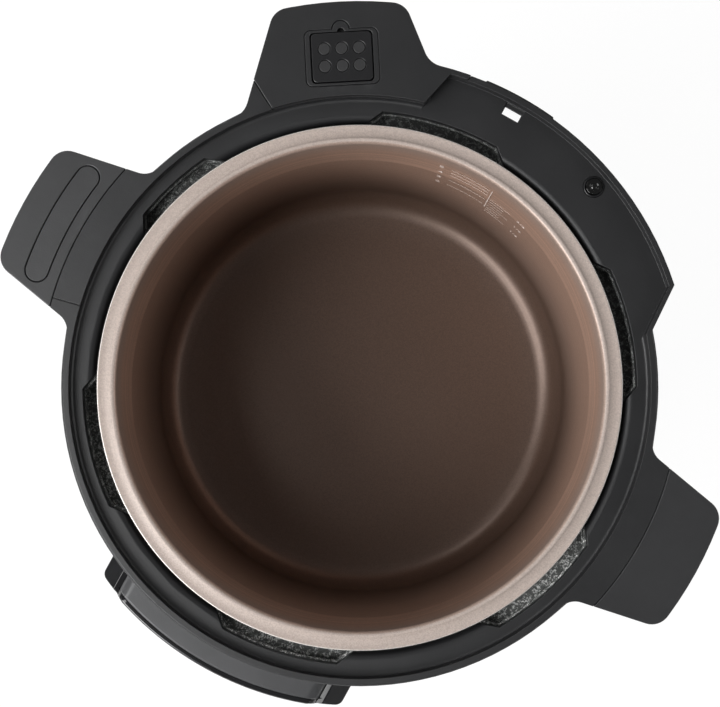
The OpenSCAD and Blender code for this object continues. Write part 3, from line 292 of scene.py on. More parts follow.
def remap(tree, value, low, high, to_low=0.0, to_high=1.0, smooth=True):
    node = tree.nodes.new("ShaderNodeMapRange")
    node.interpolation_type = "SMOOTHSTEP" if smooth else "LINEAR"
    tree.links.new(value, node.inputs["Value"])
    ends = {"From Min": low, "From Max": high, "To Min": to_low, "To Max": to_high}
    for label, number in ends.items():
        if isinstance(number, bpy.types.NodeSocket):
            tree.links.new(number, node.inputs[label])
        else:
            node.inputs[label].default_value = number
    return node.outputs["Result"]


def stretch(tree, vector, scale):
    node = tree.nodes.new("ShaderNodeVectorMath")
    node.operation = "MULTIPLY"
    tree.links.new(vector, node.inputs[0])
    node.inputs[1].default_value = scale
    return node.outputs[0]


def add(tree, a, b):
    return math_node(tree, "ADD", a, b)


def times(tree, a, b):
    return math_node(tree, "MULTIPLY", a, b)


def polar(tree, vector):
    """Distance from the cooker's axis, and height, of a point"""
    split = tree.nodes.new("ShaderNodeSeparateXYZ")
    tree.links.new(vector, split.inputs[0])
    flat = math_node(tree, "POWER", split.outputs[0], 2.0)
    deep = math_node(tree, "POWER", split.outputs[1], 2.0)
    return math_node(tree, "SQRT", add(tree, flat, deep)), split.outputs[2]


def grain_group():
    """Moulded grain: fine pits on soft waves, and where handling has polished them"""
    tree, source, sink = new_group(
        "moulded_grain",
        [("Vector", "NodeSocketVector", None), ("Scale", "NodeSocketFloat", 1500.0)],
        [("Height", "NodeSocketFloat"), ("Tone", "NodeSocketFloat"), ("Polish", "NodeSocketFloat")])
    vector, scale = source.outputs["Vector"], source.outputs["Scale"]
    pits = tree.nodes.new("ShaderNodeTexVoronoi")
    pits.feature = "SMOOTH_F1"
    tree.links.new(vector, pits.inputs["Vector"])
    tree.links.new(scale, pits.inputs["Scale"])
    waves = noise(tree, vector, times(tree, scale, 0.35))
    height = add(tree, times(tree, pits.outputs["Distance"], 0.6), times(tree, waves, 0.6))
    tone = noise(tree, vector, scale=60.0, detail=5.0)
    polish = noise(tree, vector, scale=22.0, detail=2.0)
    tree.links.new(height, sink.inputs["Height"])
    tree.links.new(remap(tree, tone, 0.3, 0.7), sink.inputs["Tone"])
    tree.links.new(remap(tree, polish, 0.35, 0.75), sink.inputs["Polish"])
    return tree


def wear_group():
    """Edge wear: convex edges, broken up by noise"""
    tree, source, sink = new_group(
        "edge_wear",
        [("Vector", "NodeSocketVector", None), ("Amount", "NodeSocketFloat", 0.5)],
        [("Mask", "NodeSocketFloat")])
    shape = tree.nodes.new("ShaderNodeNewGeometry")
    edge = remap(tree, shape.outputs["Pointiness"], 0.52, 0.62)
    chips = noise(tree, source.outputs["Vector"], scale=240.0, detail=6.0)
    broken = times(tree, remap(tree, chips, 0.4, 0.65), source.outputs["Amount"])
    tree.links.new(times(tree, edge, broken), sink.inputs["Mask"])
    return tree


def brushed_group():
    """Brushed metal: fine lines drawn round the sleeve or along a sheet"""
    tree, source, sink = new_group(
        "brushed_lines",
        [("Vector", "NodeSocketVector", None), ("Fineness", "NodeSocketFloat", 1.0)],
        [("Height", "NodeSocketFloat"), ("Tone", "NodeSocketFloat")])
    vector, fineness = source.outputs["Vector"], source.outputs["Fineness"]
    lines = stretch(tree, vector, (9.0, 9.0, 2600.0))
    bands = stretch(tree, vector, (3.0, 3.0, 160.0))
    fine = noise(tree, lines, fineness, detail=4.0, rough=0.7)
    broad = noise(tree, bands, fineness, detail=2.0)
    tree.links.new(fine, sink.inputs["Height"])
    tone = add(tree, times(tree, fine, 0.7), times(tree, broad, 0.3))
    tree.links.new(remap(tree, tone, 0.3, 0.7), sink.inputs["Tone"])
    return tree


def turned_group():
    """Turned metal: rings about the cooker's axis, as a lathe or a spinning tool leaves them"""
    tree, source, sink = new_group(
        "turned_rings",
        [("Vector", "NodeSocketVector", None), ("Pitch", "NodeSocketFloat", 2400.0)],
        [("Height", "NodeSocketFloat"), ("Tone", "NodeSocketFloat")])
    radius, height = polar(tree, source.outputs["Vector"])
    path = add(tree, radius, times(tree, height, 0.8))
    ripple = tree.nodes.new("ShaderNodeTexNoise")
    ripple.noise_dimensions = "1D"
    ripple.inputs["Scale"].default_value = 1.0
    ripple.inputs["Detail"].default_value = 4.0
    tree.links.new(times(tree, path, source.outputs["Pitch"]), ripple.inputs["W"])
    cloud = noise(tree, source.outputs["Vector"], scale=14.0)
    tone = add(tree, times(tree, ripple.outputs["Fac"], 0.6), times(tree, cloud, 0.4))
    tree.links.new(ripple.outputs["Fac"], sink.inputs["Height"])
    tree.links.new(remap(tree, tone, 0.3, 0.7), sink.inputs["Tone"])
    return tree


def crinkle_group():
    """Crinkle coating: coarse wrinkles with painted glints on their crests"""
    tree, source, sink = new_group(
        "crinkle_coat",
        [("Vector", "NodeSocketVector", None), ("Scale", "NodeSocketFloat", 900.0)],
        [("Height", "NodeSocketFloat"), ("Glint", "NodeSocketFloat")])
    vector, scale = source.outputs["Vector"], source.outputs["Scale"]
    folds = noise(tree, vector, scale, detail=4.0, rough=0.7)
    cells = tree.nodes.new("ShaderNodeTexVoronoi")
    cells.feature = "F1"
    tree.links.new(vector, cells.inputs["Vector"])
    tree.links.new(times(tree, scale, 1.3), cells.inputs["Scale"])
    height = add(tree, folds, times(tree, cells.outputs["Distance"], 0.4))
    # Painted glints: the crests of the wrinkles take a bright colour where the patches allow
    crest = remap(tree, folds, 0.47, 0.57)
    patches = noise(tree, vector, times(tree, scale, 0.35), detail=2.0)
    tree.links.new(height, sink.inputs["Height"])
    tree.links.new(times(tree, crest, remap(tree, patches, 0.40, 0.55)), sink.inputs["Glint"])
    return tree


def flake_group():
    """Metallic coating: fine flakes of two tones"""
    tree, source, sink = new_group(
        "coating_flakes",
        [("Vector", "NodeSocketVector", None), ("Scale", "NodeSocketFloat", 2200.0)],
        [("Tone", "NodeSocketFloat"), ("Height", "NodeSocketFloat")])
    vector, scale = source.outputs["Vector"], source.outputs["Scale"]
    cells = tree.nodes.new("ShaderNodeTexVoronoi")
    cells.feature = "F1"
    tree.links.new(vector, cells.inputs["Vector"])
    tree.links.new(scale, cells.inputs["Scale"])
    split = tree.nodes.new("ShaderNodeSeparateColor")
    tree.links.new(cells.outputs["Color"], split.inputs[0])
    tree.links.new(split.outputs[0], sink.inputs["Tone"])
    tree.links.new(noise(tree, vector, scale, detail=2.0), sink.inputs["Height"])
    return tree


GROUPS = {}


def shared(name):
    makers = {"grain": grain_group, "wear": wear_group, "brushed": brushed_group,
              "turned": turned_group, "crinkle": crinkle_group, "flakes": flake_group}
    if name not in GROUPS:
        GROUPS[name] = makers[name]()
    return GROUPS[name]


# ------------------------------------------------------------------ materials


def shade(colour, share):
    """A colour made darker or lighter"""
    return tuple(min(1.0, c * share) for c in colour)


class Finish:
    """A material under construction: its tree, its shader and the object's own coordinates"""

    def __init__(self, name, colour, rough, metal=0.0, coat=0.0, specular=0.5):
        self.material = bpy.data.materials.new(name)
        self.material.use_nodes = True
        self.tree = self.material.node_tree
        self.tree.nodes.clear()
        self.shader = self.tree.nodes.new("ShaderNodeBsdfPrincipled")
        out = self.tree.nodes.new("ShaderNodeOutputMaterial")
        self.tree.links.new(self.shader.outputs[0], out.inputs[0])
        self.place = self.tree.nodes.new("ShaderNodeTexCoord").outputs["Object"]
        self.shader.inputs["Base Color"].default_value = (*colour, 1.0)
        self.shader.inputs["Roughness"].default_value = rough
        self.shader.inputs["Metallic"].default_value = metal
        self.shader.inputs["Coat Weight"].default_value = coat
        self.shader.inputs["Specular IOR Level"].default_value = specular
        self.colour = tuple(colour)

    def effect(self, name, **values):
        """Places a shared group in the material, with its own values"""
        node = self.tree.nodes.new("ShaderNodeGroup")
        node.node_tree = shared(name)
        self.tree.links.new(self.place, node.inputs["Vector"])
        for label, value in values.items():
            node.inputs[label].default_value = value
        return node.outputs

    def mix_node(self, kind):
        node = self.tree.nodes.new("ShaderNodeMix")
        node.data_type = "RGBA"
        node.blend_type = kind
        return node

    def blend(self, mask, low, high):
        """Goes from one colour to another where the mask is set"""
        node = self.mix_node("MIX")
        self.tree.links.new(mask, node.inputs["Factor"])
        self.fill(node, "A", low)
        self.fill(node, "B", high)
        return node.outputs["Result"]

    def multiply(self, colour, tone):
        """A colour that a tone makes darker or lighter"""
        node = self.mix_node("MULTIPLY")
        node.inputs["Factor"].default_value = 1.0
        self.fill(node, "A", colour)
        self.fill(node, "B", tone)
        return node.outputs["Result"]

    def fill(self, node, label, value):
        """Links or sets a node's colour input"""
        socket = next(s for s in node.inputs if s.name == label and s.type == "RGBA")
        if isinstance(value, bpy.types.NodeSocket):
            self.tree.links.new(value, socket)
        else:
            socket.default_value = (*value, 1.0)

    def tint(self, mask, low=0.9, high=1.1):
        """Base colour that drifts between a darker and a lighter tone"""
        result = self.blend(mask, shade(self.colour, low), shade(self.colour, high))
        self.paint(result)
        return result

    def paint(self, result):
        """Takes an output as the base colour"""
        self.tree.links.new(result, self.shader.inputs["Base Color"])

    def roughen(self, mask, low, high):
        """Roughness that goes from low to high with a mask"""
        rough = remap(self.tree, mask, 0.0, 1.0, low, high, smooth=False)
        self.tree.links.new(rough, self.shader.inputs["Roughness"])

    def bump(self, height, distance, strength=1.0):
        """Relief of the surface, as deep as distance"""
        node = self.tree.nodes.new("ShaderNodeBump")
        node.inputs["Strength"].default_value = strength
        node.inputs["Distance"].default_value = distance
        self.tree.links.new(height, node.inputs["Height"])
        self.tree.links.new(node.outputs[0], self.shader.inputs["Normal"])


def moulded(name, colour, rough, grain=1500.0, depth=0.03 * MM, wear=0.25, specular=0.6, dull=None):
    """Moulded plastic: fine grain, polish from handling and worn edges, and dull inside a radius"""
    finish = Finish(name, colour, rough, specular=specular)
    grain_out = finish.effect("grain", Scale=grain)
    body = finish.tint(grain_out["Tone"], 0.93, 1.07)
    worn = tuple(min(1.0, c * 1.8 + 0.02) for c in colour)
    finish.paint(finish.blend(finish.effect("wear", Amount=wear)["Mask"], body, worn))
    finish.roughen(grain_out["Polish"], rough + 0.03, rough - 0.04)
    if dull:
        radius = polar(finish.tree, finish.place)[0]
        shine = remap(finish.tree, radius, dull, dull + 5 * MM, 0.25, specular)
        finish.tree.links.new(shine, finish.shader.inputs["Specular IOR Level"])
    finish.bump(grain_out["Height"], depth)
    return finish.material


def glossy(name, colour, rough=0.12, coat=0.6):
    """Polished plastic: a clear coat over a slightly uneven body, with faint smears"""
    finish = Finish(name, colour, rough, coat=coat)
    finish.shader.inputs["Coat Roughness"].default_value = 0.06
    grain_out = finish.effect("grain", Scale=300.0)
    finish.tint(grain_out["Tone"], 0.85, 1.15)
    finish.roughen(grain_out["Polish"], rough * 0.8, rough * 1.5)
    finish.bump(grain_out["Polish"], 0.02 * MM, 0.3)
    return finish.material


def brushed(name, colour, rough):
    """Brushed sheet metal"""
    finish = Finish(name, colour, rough, metal=1.0)
    lines = finish.effect("brushed")
    finish.tint(lines["Tone"], 0.88, 1.08)
    finish.roughen(lines["Tone"], rough - 0.06, rough + 0.08)
    finish.bump(lines["Height"], 0.01 * MM)
    return finish.material


def turned(name, colour, rough, pitch=2400.0):
    """Cast or spun metal with turning rings"""
    finish = Finish(name, colour, rough, metal=1.0)
    rings = finish.effect("turned", Pitch=pitch)
    finish.tint(rings["Tone"], 0.85, 1.08)
    finish.roughen(rings["Tone"], rough - 0.05, rough + 0.1)
    finish.bump(rings["Height"], 0.02 * MM)
    return finish.material


def crinkled(name, colour, wear=0.0):
    """Sprayed crinkle coating over steel, with painted glints, and painted light that brightens it at
    the front right
    """
    finish = Finish(name, colour, 0.45, specular=0.8)
    tree = finish.tree
    crinkle = finish.effect("crinkle", Scale=1100.0)
    split = tree.nodes.new("ShaderNodeSeparateXYZ")
    tree.links.new(finish.place, split.inputs[0])
    # Painted light: this mask makes the coating and its glints brighter at the front right
    across = add(tree, times(tree, split.outputs[0], PAINTED_LIGHT_SLANT), split.outputs[1])
    side = remap(tree, across, PAINTED_LIGHT_FULL_AT, PAINTED_LIGHT_FADED_AT)
    painted_glint_colour = finish.blend(side, (0.92, 0.93, 0.91), (0.22, 0.23, 0.22))
    painted_light_ground = finish.blend(side, shade(colour, 4), colour)
    with_painted_glints = finish.blend(crinkle["Glint"], painted_light_ground, painted_glint_colour)
    worn = finish.effect("wear", Amount=wear)["Mask"]
    finish.paint(finish.blend(worn, with_painted_glints, (0.75, 0.76, 0.74)))
    finish.roughen(crinkle["Glint"], 0.45, 0.3)
    finish.bump(crinkle["Height"], 0.5 * MM)
    return finish.material


def pot_coating(name):
    """Flaked coating: pale on the rim's flange, with painted light on the wall by the rim, painted
    reflections in light and dark rings above the wall's step, and darker down the wall and on the
    bottom, partly painted shade
    """
    finish = Finish(name, colours().pot, 0.34, metal=0.35)
    tree = finish.tree
    rim = tuple(colours().rim)
    wall = tuple(colours().pot)
    # Colour of the painted light on the wall by the rim, between the wall's colour and the rim's
    pale = tuple(0.45 * c + 0.55 * r for c, r in zip(wall, rim))
    step_z = RIM_Z - sizes().step_depth
    radius, height = polar(tree, finish.place)

    # Mask for the wall's darkening towards the bottom: partly the coating's own darker floor, partly
    # painted shade inside the deep pot
    deep = remap(tree, height, POT_Z + 20 * MM, step_z)
    above = remap(tree, height, step_z - 0.8 * MM, step_z + 0.8 * MM)
    # Painted light: the wall turns pale towards the rim, where light falls in at the pot's mouth
    painted_light_by_rim = remap(tree, height, RIM_Z - 22 * MM, RIM_Z - 2 * MM)
    flange = times(tree, remap(tree, radius, POT_RIM_R - FLANGE_W - 0.8 * MM, POT_RIM_R - FLANGE_W),
                   remap(tree, height, RIM_Z - 4 * MM, RIM_Z - 3 * MM))
    edge = remap(tree, radius, POT_RIM_R - 0.3 * MM, POT_RIM_R)

    # Wall colour darkening towards the bottom, partly painted shade
    lower = finish.blend(deep, shade(wall, 0.34), shade(wall, 0.84))
    # Painted reflections: the band above the wall's step is lighter, in light and dark rings round the
    # wall
    painted_reflection_tone = finish.effect("turned", Pitch=280.0)["Tone"]
    band_with_painted_reflections = finish.blend(painted_reflection_tone, shade(wall, 0.92), shade(wall, 1.3))
    inner = finish.blend(painted_light_by_rim, finish.blend(above, lower, band_with_painted_reflections), pale)
    body = finish.blend(edge, finish.blend(flange, inner, rim), (0.80, 0.76, 0.72))
    flakes = finish.effect("flakes", Scale=2200.0)
    tone = remap(tree, flakes["Tone"], 0.0, 1.0, 0.86, 1.1, smooth=False)
    finish.paint(finish.multiply(body, tone))

    metal = remap(tree, flange, 0.0, 1.0, 0.35, 0.08, smooth=False)
    tree.links.new(add(tree, metal, times(tree, edge, 0.8)), finish.shader.inputs["Metallic"])
    rings = finish.effect("turned", Pitch=900.0)
    polish = remap(tree, rings["Tone"], 0.0, 1.0, 0.30, 0.40, smooth=False)
    rough = add(tree, polish, times(tree, flange, 0.18))
    tree.links.new(rough, finish.shader.inputs["Roughness"])
    finish.bump(flakes["Height"], 0.02 * MM, 0.6)
    return finish.material


def printed(name, colour, rough=0.55, lit=0.0):
    """Printed or lit marks, slightly uneven in cover"""
    finish = Finish(name, colour, rough)
    grain_out = finish.effect("grain", Scale=2500.0)
    body = finish.tint(grain_out["Tone"], 0.85, 1.0)
    finish.bump(grain_out["Height"], 0.01 * MM)
    if lit:
        finish.tree.links.new(body, finish.shader.inputs["Emission Color"])
        finish.shader.inputs["Emission Strength"].default_value = lit
    return finish.material


def smoked_lens(name):
    """Smoked clear plastic over the display"""
    finish = Finish(name, (0.10, 0.11, 0.12), 0.04)
    finish.shader.inputs["Transmission Weight"].default_value = 0.92
    finish.shader.inputs["IOR"].default_value = 1.49
    grain_out = finish.effect("grain", Scale=200.0)
    finish.tint(grain_out["Tone"], 0.95, 1.05)
    finish.roughen(grain_out["Polish"], 0.03, 0.07)
    return finish.material


def laminate(name):
    """Circuit board: green mask over a grid of tracks"""
    finish = Finish(name, (0.015, 0.12, 0.045), 0.35)
    tracks = finish.tree.nodes.new("ShaderNodeTexBrick")
    finish.tree.links.new(finish.place, tracks.inputs["Vector"])
    tracks.inputs["Scale"].default_value = 160.0
    tracks.inputs["Mortar Size"].default_value = 0.05
    mask = finish.effect("grain", Scale=800.0)
    body = finish.blend(tracks.outputs["Fac"], (0.012, 0.10, 0.04), (0.03, 0.19, 0.07))
    finish.paint(body)
    finish.roughen(mask["Polish"], 0.3, 0.45)
    finish.bump(tracks.outputs["Fac"], 0.03 * MM, 0.5)
    return finish.material


def laminated_core(name):
    """Stack of transformer sheets"""
    finish = Finish(name, (0.10, 0.10, 0.11), 0.5, metal=0.6)
    lines = finish.effect("brushed", Fineness=0.4)
    finish.tint(lines["Tone"], 0.6, 1.3)
    finish.bump(lines["Height"], 0.1 * MM)
    return finish.material


FINISHES = {}


def make(name, maker, *colour, **values):
    """Makes the finish of that name with one of the makers above"""
    FINISHES[name] = maker(name, *colour, **values)


def make_finishes():
    """One finish for each material slot of the record, and those of the printed marks"""
    c = colours()
    jet = (0.008, 0.008, 0.009)
    make("base_plastic", moulded, c.base, rough=0.52, grain=1100.0, depth=0.04 * MM)
    make("foot_rubber", moulded, (0.014, 0.014, 0.014), rough=0.8, grain=700.0, depth=0.05 * MM,
         wear=0.1, specular=0.3)
    make("screw_steel", turned, (0.52, 0.52, 0.53), rough=0.32, pitch=3000.0)
    make("sleeve_steel", brushed, c.steel, rough=0.30)
    make("ring_plastic", moulded, c.ring, rough=0.42, dull=POT_RIM_R + 1.2 * MM)
    make("handle_plastic", moulded, c.handle, rough=0.42, grain=1300.0)
    make("grip_plastic", moulded, c.base, rough=0.55, grain=900.0, depth=0.05 * MM)
    make("inlay_plastic", moulded, c.handle, rough=0.44, grain=1700.0)
    make("connector_plastic", moulded, c.ring, rough=0.42, grain=1300.0)
    make("port_plastic", moulded, jet, rough=0.34)
    make("spring_steel", turned, (0.55, 0.55, 0.56), rough=0.28, pitch=1800.0)
    make("carrier_plastic", moulded, (0.60, 0.58, 0.52), rough=0.5, grain=800.0, wear=0.1)
    make("collar_plastic", moulded, jet, rough=0.3, grain=1200.0)
    make("pin_plastic", glossy, (0.003, 0.003, 0.003), rough=0.08, coat=0.2)
    make("switch_plastic", moulded, (0.03, 0.03, 0.034), rough=0.4)
    # The tray's crinkle coating is made 1.4 times lighter than the shell's: painted light, as the tray
    # lies in shade deep under the ring's windows
    make("tray_steel", crinkled, shade(c.crinkle, 1.4))
    make("shell_coating", crinkled, c.crinkle, wear=0.8)
    make("pot_coating", pot_coating)
    make("cast_aluminium", turned, (0.48, 0.49, 0.50), rough=0.4, pitch=1400.0)
    make("element_steel", turned, (0.42, 0.41, 0.40), rough=0.36, pitch=2200.0)
    make("ceramic", moulded, (0.72, 0.70, 0.66), rough=0.35, grain=600.0, depth=0.02 * MM, wear=0.0)
    make("board_laminate", laminate)
    make("transformer_core", laminated_core)
    make("relay_plastic", moulded, (0.02, 0.05, 0.16), rough=0.35)
    make("capacitor_sleeve", moulded, (0.02, 0.022, 0.045), rough=0.3, depth=0.01 * MM, wear=0.0)
    make("socket_plastic", moulded, (0.014, 0.014, 0.015), rough=0.38, grain=1200.0)
    make("blade_brass", turned, (0.62, 0.50, 0.24), rough=0.3, pitch=2600.0)
    make("housing_plastic", moulded, c.hood, rough=0.38, grain=1400.0)
    make("fascia_plastic", glossy, c.gloss)
    make("lens_plastic", smoked_lens)
    make("display_plastic", moulded, (0.028, 0.03, 0.032), rough=0.4, grain=1800.0)
    make("mat_rubber", moulded, (0.11, 0.11, 0.12), rough=0.75, grain=700.0, depth=0.04 * MM, wear=0.0)
    make("key_plastic", moulded, (0.016, 0.016, 0.018), rough=0.3, grain=1800.0, depth=0.01 * MM)
    make("dot_plastic", moulded, (0.020, 0.020, 0.021), rough=0.5, grain=1700.0)
    make("mark_print", printed, (0.90, 0.80, 0.74), rough=0.4)
    make("sign_print", printed, c.sign)
    make("digit_print", printed, c.digits, rough=0.4, lit=1.2)


def finish_of(slot):
    if not FINISHES:
        make_finishes()
    return FINISHES[slot]


# ------------------------------------------------------------------ pieces


def piece_from(bm, name, finish, body):
    """A finished mesh as a piece that rides on a body"""
    mesh = bpy.data.meshes.new(name)
    bm.to_mesh(mesh)
    bm.free()
    piece = bpy.data.objects.new(name, mesh)
    bpy.context.scene.collection.objects.link(piece)
    mesh.materials.append(finish_of(finish))
    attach(piece, body)
    return piece


def soften(piece, width, segments=2):
    """Rounds a piece's edges and evens out its shading"""
    bevel = piece.modifiers.new("edges", "BEVEL")
    bevel.width = width
    bevel.segments = segments
    bevel.limit_method = "ANGLE"
    bevel.angle_limit = SHARP_FROM
    bevel.use_clamp_overlap = False
    bevel.miter_outer = "MITER_ARC"
    shading = piece.modifiers.new("shading", "WEIGHTED_NORMAL")
    shading.mode = "FACE_AREA_WITH_ANGLE"
    shading.weight = 60
    shading.keep_sharp = False


def round_cheeks(bm):
    """Rounds the upright front corners of the cheeks, then rolls the hood's ends"""
    side = FASCIA_HALF - 0.1 * MM
    upright = [e for e in bm.edges
               if len(e.link_faces) == 2 and e.calc_face_angle() > SHARP_FROM
               and all(abs(v.co.x) > side and v.co.y < CHEEK_FRONT_Y for v in e.verts)
               and abs(e.verts[0].co.z - e.verts[1].co.z) > CHEEK_MIN_H]
    bmesh.ops.bevel(bm, geom=upright, offset=CHEEK_R, offset_type="OFFSET", segments=5,
                    profile=0.5, affect="EDGES", material=-1, clamp_overlap=False)
    roll_ends(bm)


def roll_ends(bm):
    """Rolls the hood's top down at both ends, where the cheeks take over"""
    start = HOOD_HALF - HOOD_ROLL
    cuts = [start + HOOD_ROLL * math.sin(math.radians(15 * i)) for i in range(6)]
    for side in (-1, 1):
        for x in cuts:
            geometry = bm.verts[:] + bm.edges[:] + bm.faces[:]
            bmesh.ops.bisect_plane(bm, geom=geometry, plane_co=(side * x, 0, 0), plane_no=(1, 0, 0))
    for v in bm.verts:
        x = abs(v.co.x)
        if x <= start or v.co.z < HOOD_FOOT_Z:
            continue
        if x < HOOD_HALF:
            drop = HOOD_ROLL - math.sqrt(max(0.0, HOOD_ROLL ** 2 - (x - start) ** 2))
        else:
            drop = HOOD_ROLL * (1 - 0.5 * (x - HOOD_HALF) / (FASCIA_HALF - HOOD_HALF))
        v.co.z -= drop * min(1.0, (v.co.z - HOOD_FOOT_Z) / (2 * HOOD_ROLL))


def copy_of(node):
    """A CAD node's mesh with its loose triangles joined and its flat faces made whole"""
    bm = bmesh.new()
    bm.from_mesh(NODES[node].data)
    bmesh.ops.remove_doubles(bm, verts=bm.verts, dist=0.02 * MM)
    bmesh.ops.dissolve_limit(bm, angle_limit=FLAT_WITHIN, verts=bm.verts, edges=bm.edges)
    for face in bm.faces:
        face.smooth = True
    return bm


def dress(node, width=None, segments=2, finish=None, shape=None):
    """A softened copy of a CAD node, which a function may shape first, stands for it"""
    slot = SLOT_OF[node]
    bm = copy_of(node)
    if shape:
        shape(bm)
    piece = piece_from(bm, node + "_form", finish or slot, BODY_OF[node])
    soften(piece, sizes().edge if width is None else width, segments)
    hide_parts(node)


def sprung(joint_name):
    """A coil spring that a joint holds: a softened copy of its CAD node, riding on its body, with a
    mesh of its own
    """
    joint = next(j for j in RECORD["behaviour"]["joints"] if j["name"] == joint_name)
    held = joint["deforming_nodes"][0]
    node, fixed = held["node"], held["fixed_end_z_m"]
    slot = SLOT_OF[node]
    piece = piece_from(copy_of(node), node + "_form", slot, BODY_OF[node])
    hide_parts(node)
    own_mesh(piece)


def coat(*nodes):
    """CAD nodes that keep their shape and take their slot's finish"""
    for node in nodes:
        mesh = NODES[node].data
        mesh.materials.clear()
        mesh.materials.append(finish_of(SLOT_OF[node]))


def spin_profile(points, steps):
    """A closed body turned about the cooker's axis from points (radius, height)"""
    bm = bmesh.new()
    verts = [bm.verts.new((r, 0.0, z)) for r, z in points]
    edges = [bm.edges.new(pair) for pair in zip(verts, verts[1:])]
    bmesh.ops.spin(bm, geom=verts + edges, cent=(0, 0, 0), axis=(0, 0, 1),
                   angle=math.tau, steps=steps, use_merge=True)
    bmesh.ops.remove_doubles(bm, verts=bm.verts, dist=0.002 * MM)
    bmesh.ops.recalc_face_normals(bm, faces=bm.faces)
    for face in bm.faces:
        face.smooth = True
    return bm


def arc_points(cx, cz, r, start, end, count):
    """Points along an arc, from one angle to another in degrees"""
    angles = [math.radians(start + (end - start) * i / count) for i in range(count + 1)]
    return [(cx + r * math.cos(angle), cz + r * math.sin(angle)) for angle in angles]


def bar(bm, x0, x1, y0, y1, thick):
    """A flat bar between two corners, thick upwards from zero"""
    middle = Matrix.Translation(((x0 + x1) / 2, (y0 + y1) / 2, thick / 2))
    size = Matrix.Diagonal((abs(x1 - x0), abs(y1 - y0), thick)).to_4x4()
    bmesh.ops.create_cube(bm, size=1.0, matrix=middle @ size)


def stroke(bm, p, q, width, thick):
    """A flat bar of a width from p to q"""
    run = Vector(q) - Vector(p)
    turn = Matrix.Rotation(math.atan2(run.y, run.x), 4, "Z")
    middle = Matrix.Translation(((p[0] + q[0]) / 2, (p[1] + q[1]) / 2, thick / 2))
    size = Matrix.Diagonal((run.length + width * 0.3, width, thick)).to_4x4()
    bmesh.ops.create_cube(bm, size=1.0, matrix=middle @ turn @ size)


def strokes(bm, points, width, thick):
    """Bars from point to point, given in millimetres"""
    for p, q in zip(points, points[1:]):
        stroke(bm, (p[0] * MM, p[1] * MM), (q[0] * MM, q[1] * MM), width, thick)


def hoop(bm, r, width, thick, start=0.0, sweep=360.0):
    """A flat ring about the origin, or an arc of it"""
    old = set(bm.verts)
    low = bmesh.ops.create_grid(bm, x_segments=1, y_segments=1, size=0.5)["verts"]
    for v in low:
        v.co = Vector((r + v.co.x * width, 0.0, (v.co.y + 0.5) * thick))
    bmesh.ops.transform(bm, matrix=Matrix.Rotation(math.radians(start), 4, "Z"), verts=low)
    faces = list({f for v in low for f in v.link_faces})
    full = sweep >= 360.0
    edges = list({e for f in faces for e in f.edges})
    bmesh.ops.spin(bm, geom=edges + low if full else faces, cent=(0, 0, 0), axis=(0, 0, 1),
                   angle=math.radians(sweep), steps=max(6, int(sweep / 10)), use_merge=full)
    if full:
        bmesh.ops.delete(bm, geom=faces, context="FACES_ONLY")
    fresh = [v for v in bm.verts if v not in old]
    bmesh.ops.remove_doubles(bm, verts=fresh, dist=0.0005 * MM)


def on_wall(bm, radius):
    """Wraps a flat drawing (x along, y up, z proud) round the inside of a wall about the axis"""
    for v in bm.verts:
        az = -v.co.x / radius
        r = radius - v.co.z
        v.co = Vector((r * math.cos(az), r * math.sin(az), v.co.y))


def text_mesh(words, size, thick):
    """Plain numerals as a mesh"""
    curve = bpy.data.curves.new("numerals", "FONT")
    curve.body = words
    curve.size = size
    curve.extrude = thick / 2
    curve.resolution_u = 2
    curve.align_x = "CENTER"
    curve.align_y = "CENTER"
    holder = bpy.data.objects.new("numerals", curve)
    bpy.context.scene.collection.objects.link(holder)
    bpy.context.view_layer.update()
    ready = holder.evaluated_get(bpy.context.evaluated_depsgraph_get())
    mesh = bpy.data.meshes.new_from_object(ready)
    bpy.data.objects.remove(holder)
    bpy.data.curves.remove(curve)
    return mesh


def add_text(bm, words, x, y, size, thick):
    mesh = text_mesh(words, size, thick)
    mesh.transform(Matrix.Translation((x, y, thick / 2)))
    bm.from_mesh(mesh)
    bpy.data.meshes.remove(mesh)


# ------------------------------------------------------------------ operators


class Dressing(bpy.types.Operator):
    """What every dressing operator shares"""

    bl_options = {"REGISTER", "UNDO"}

    @classmethod
    def poll(cls, context):
        return context.scene is not None


class COOKER_OT_shell(Dressing):
    """Softens and finishes the base, its feet and screws, and the steel sleeve"""

    bl_idname = "cooker.shell"
    bl_label = "Shell"

    def execute(self, context):
        dress("base_cover")
        dress("rubber_feet", FOOT_EDGE, segments=3)
        dress("base_screws", FINE_EDGE)
        dress("outer_sleeve", sizes().sheet_edge)
        return {"FINISHED"}


class COOKER_OT_ring(Dressing):
    """Softens and finishes the top ring with its channel, bracket and box"""

    bl_idname = "cooker.ring"
    bl_label = "Top ring"

    def execute(self, context):
        dress("top_ring", FINE_EDGE)
        dress("ring_collar", SMALL_EDGE)
        dress("condensate_bracket")
        dress("sensor_box")
        coat("bayonet_tray")
        return {"FINISHED"}


class COOKER_OT_handles(Dressing):
    """Softens and finishes the side handles, the left one's pad and the screws"""

    bl_idname = "cooker.handles"
    bl_label = "Side handles"

    def execute(self, context):
        for side in ("left", "right"):
            dress(side + "_handle_cap", GRIP_EDGE, segments=3)
            dress(side + "_handle_base")
        dress("left_handle_inlay", FINE_EDGE)
        coat("handle_screws")
        return {"FINISHED"}


def frame_loop(half_w, half_d, corner, arch):
    """Rounded rectangle with an arch in the middle of its outer side"""
    points = arc_points(0, half_d, arch, 0, 180, 12)
    x, y = half_w - corner, half_d - corner
    for cx, cy, start in ((-x, y, 90), (-x, -y, 180), (x, -y, 270), (x, y, 0)):
        points += arc_points(cx, cy, corner, start, start + 90, 6)
    return points


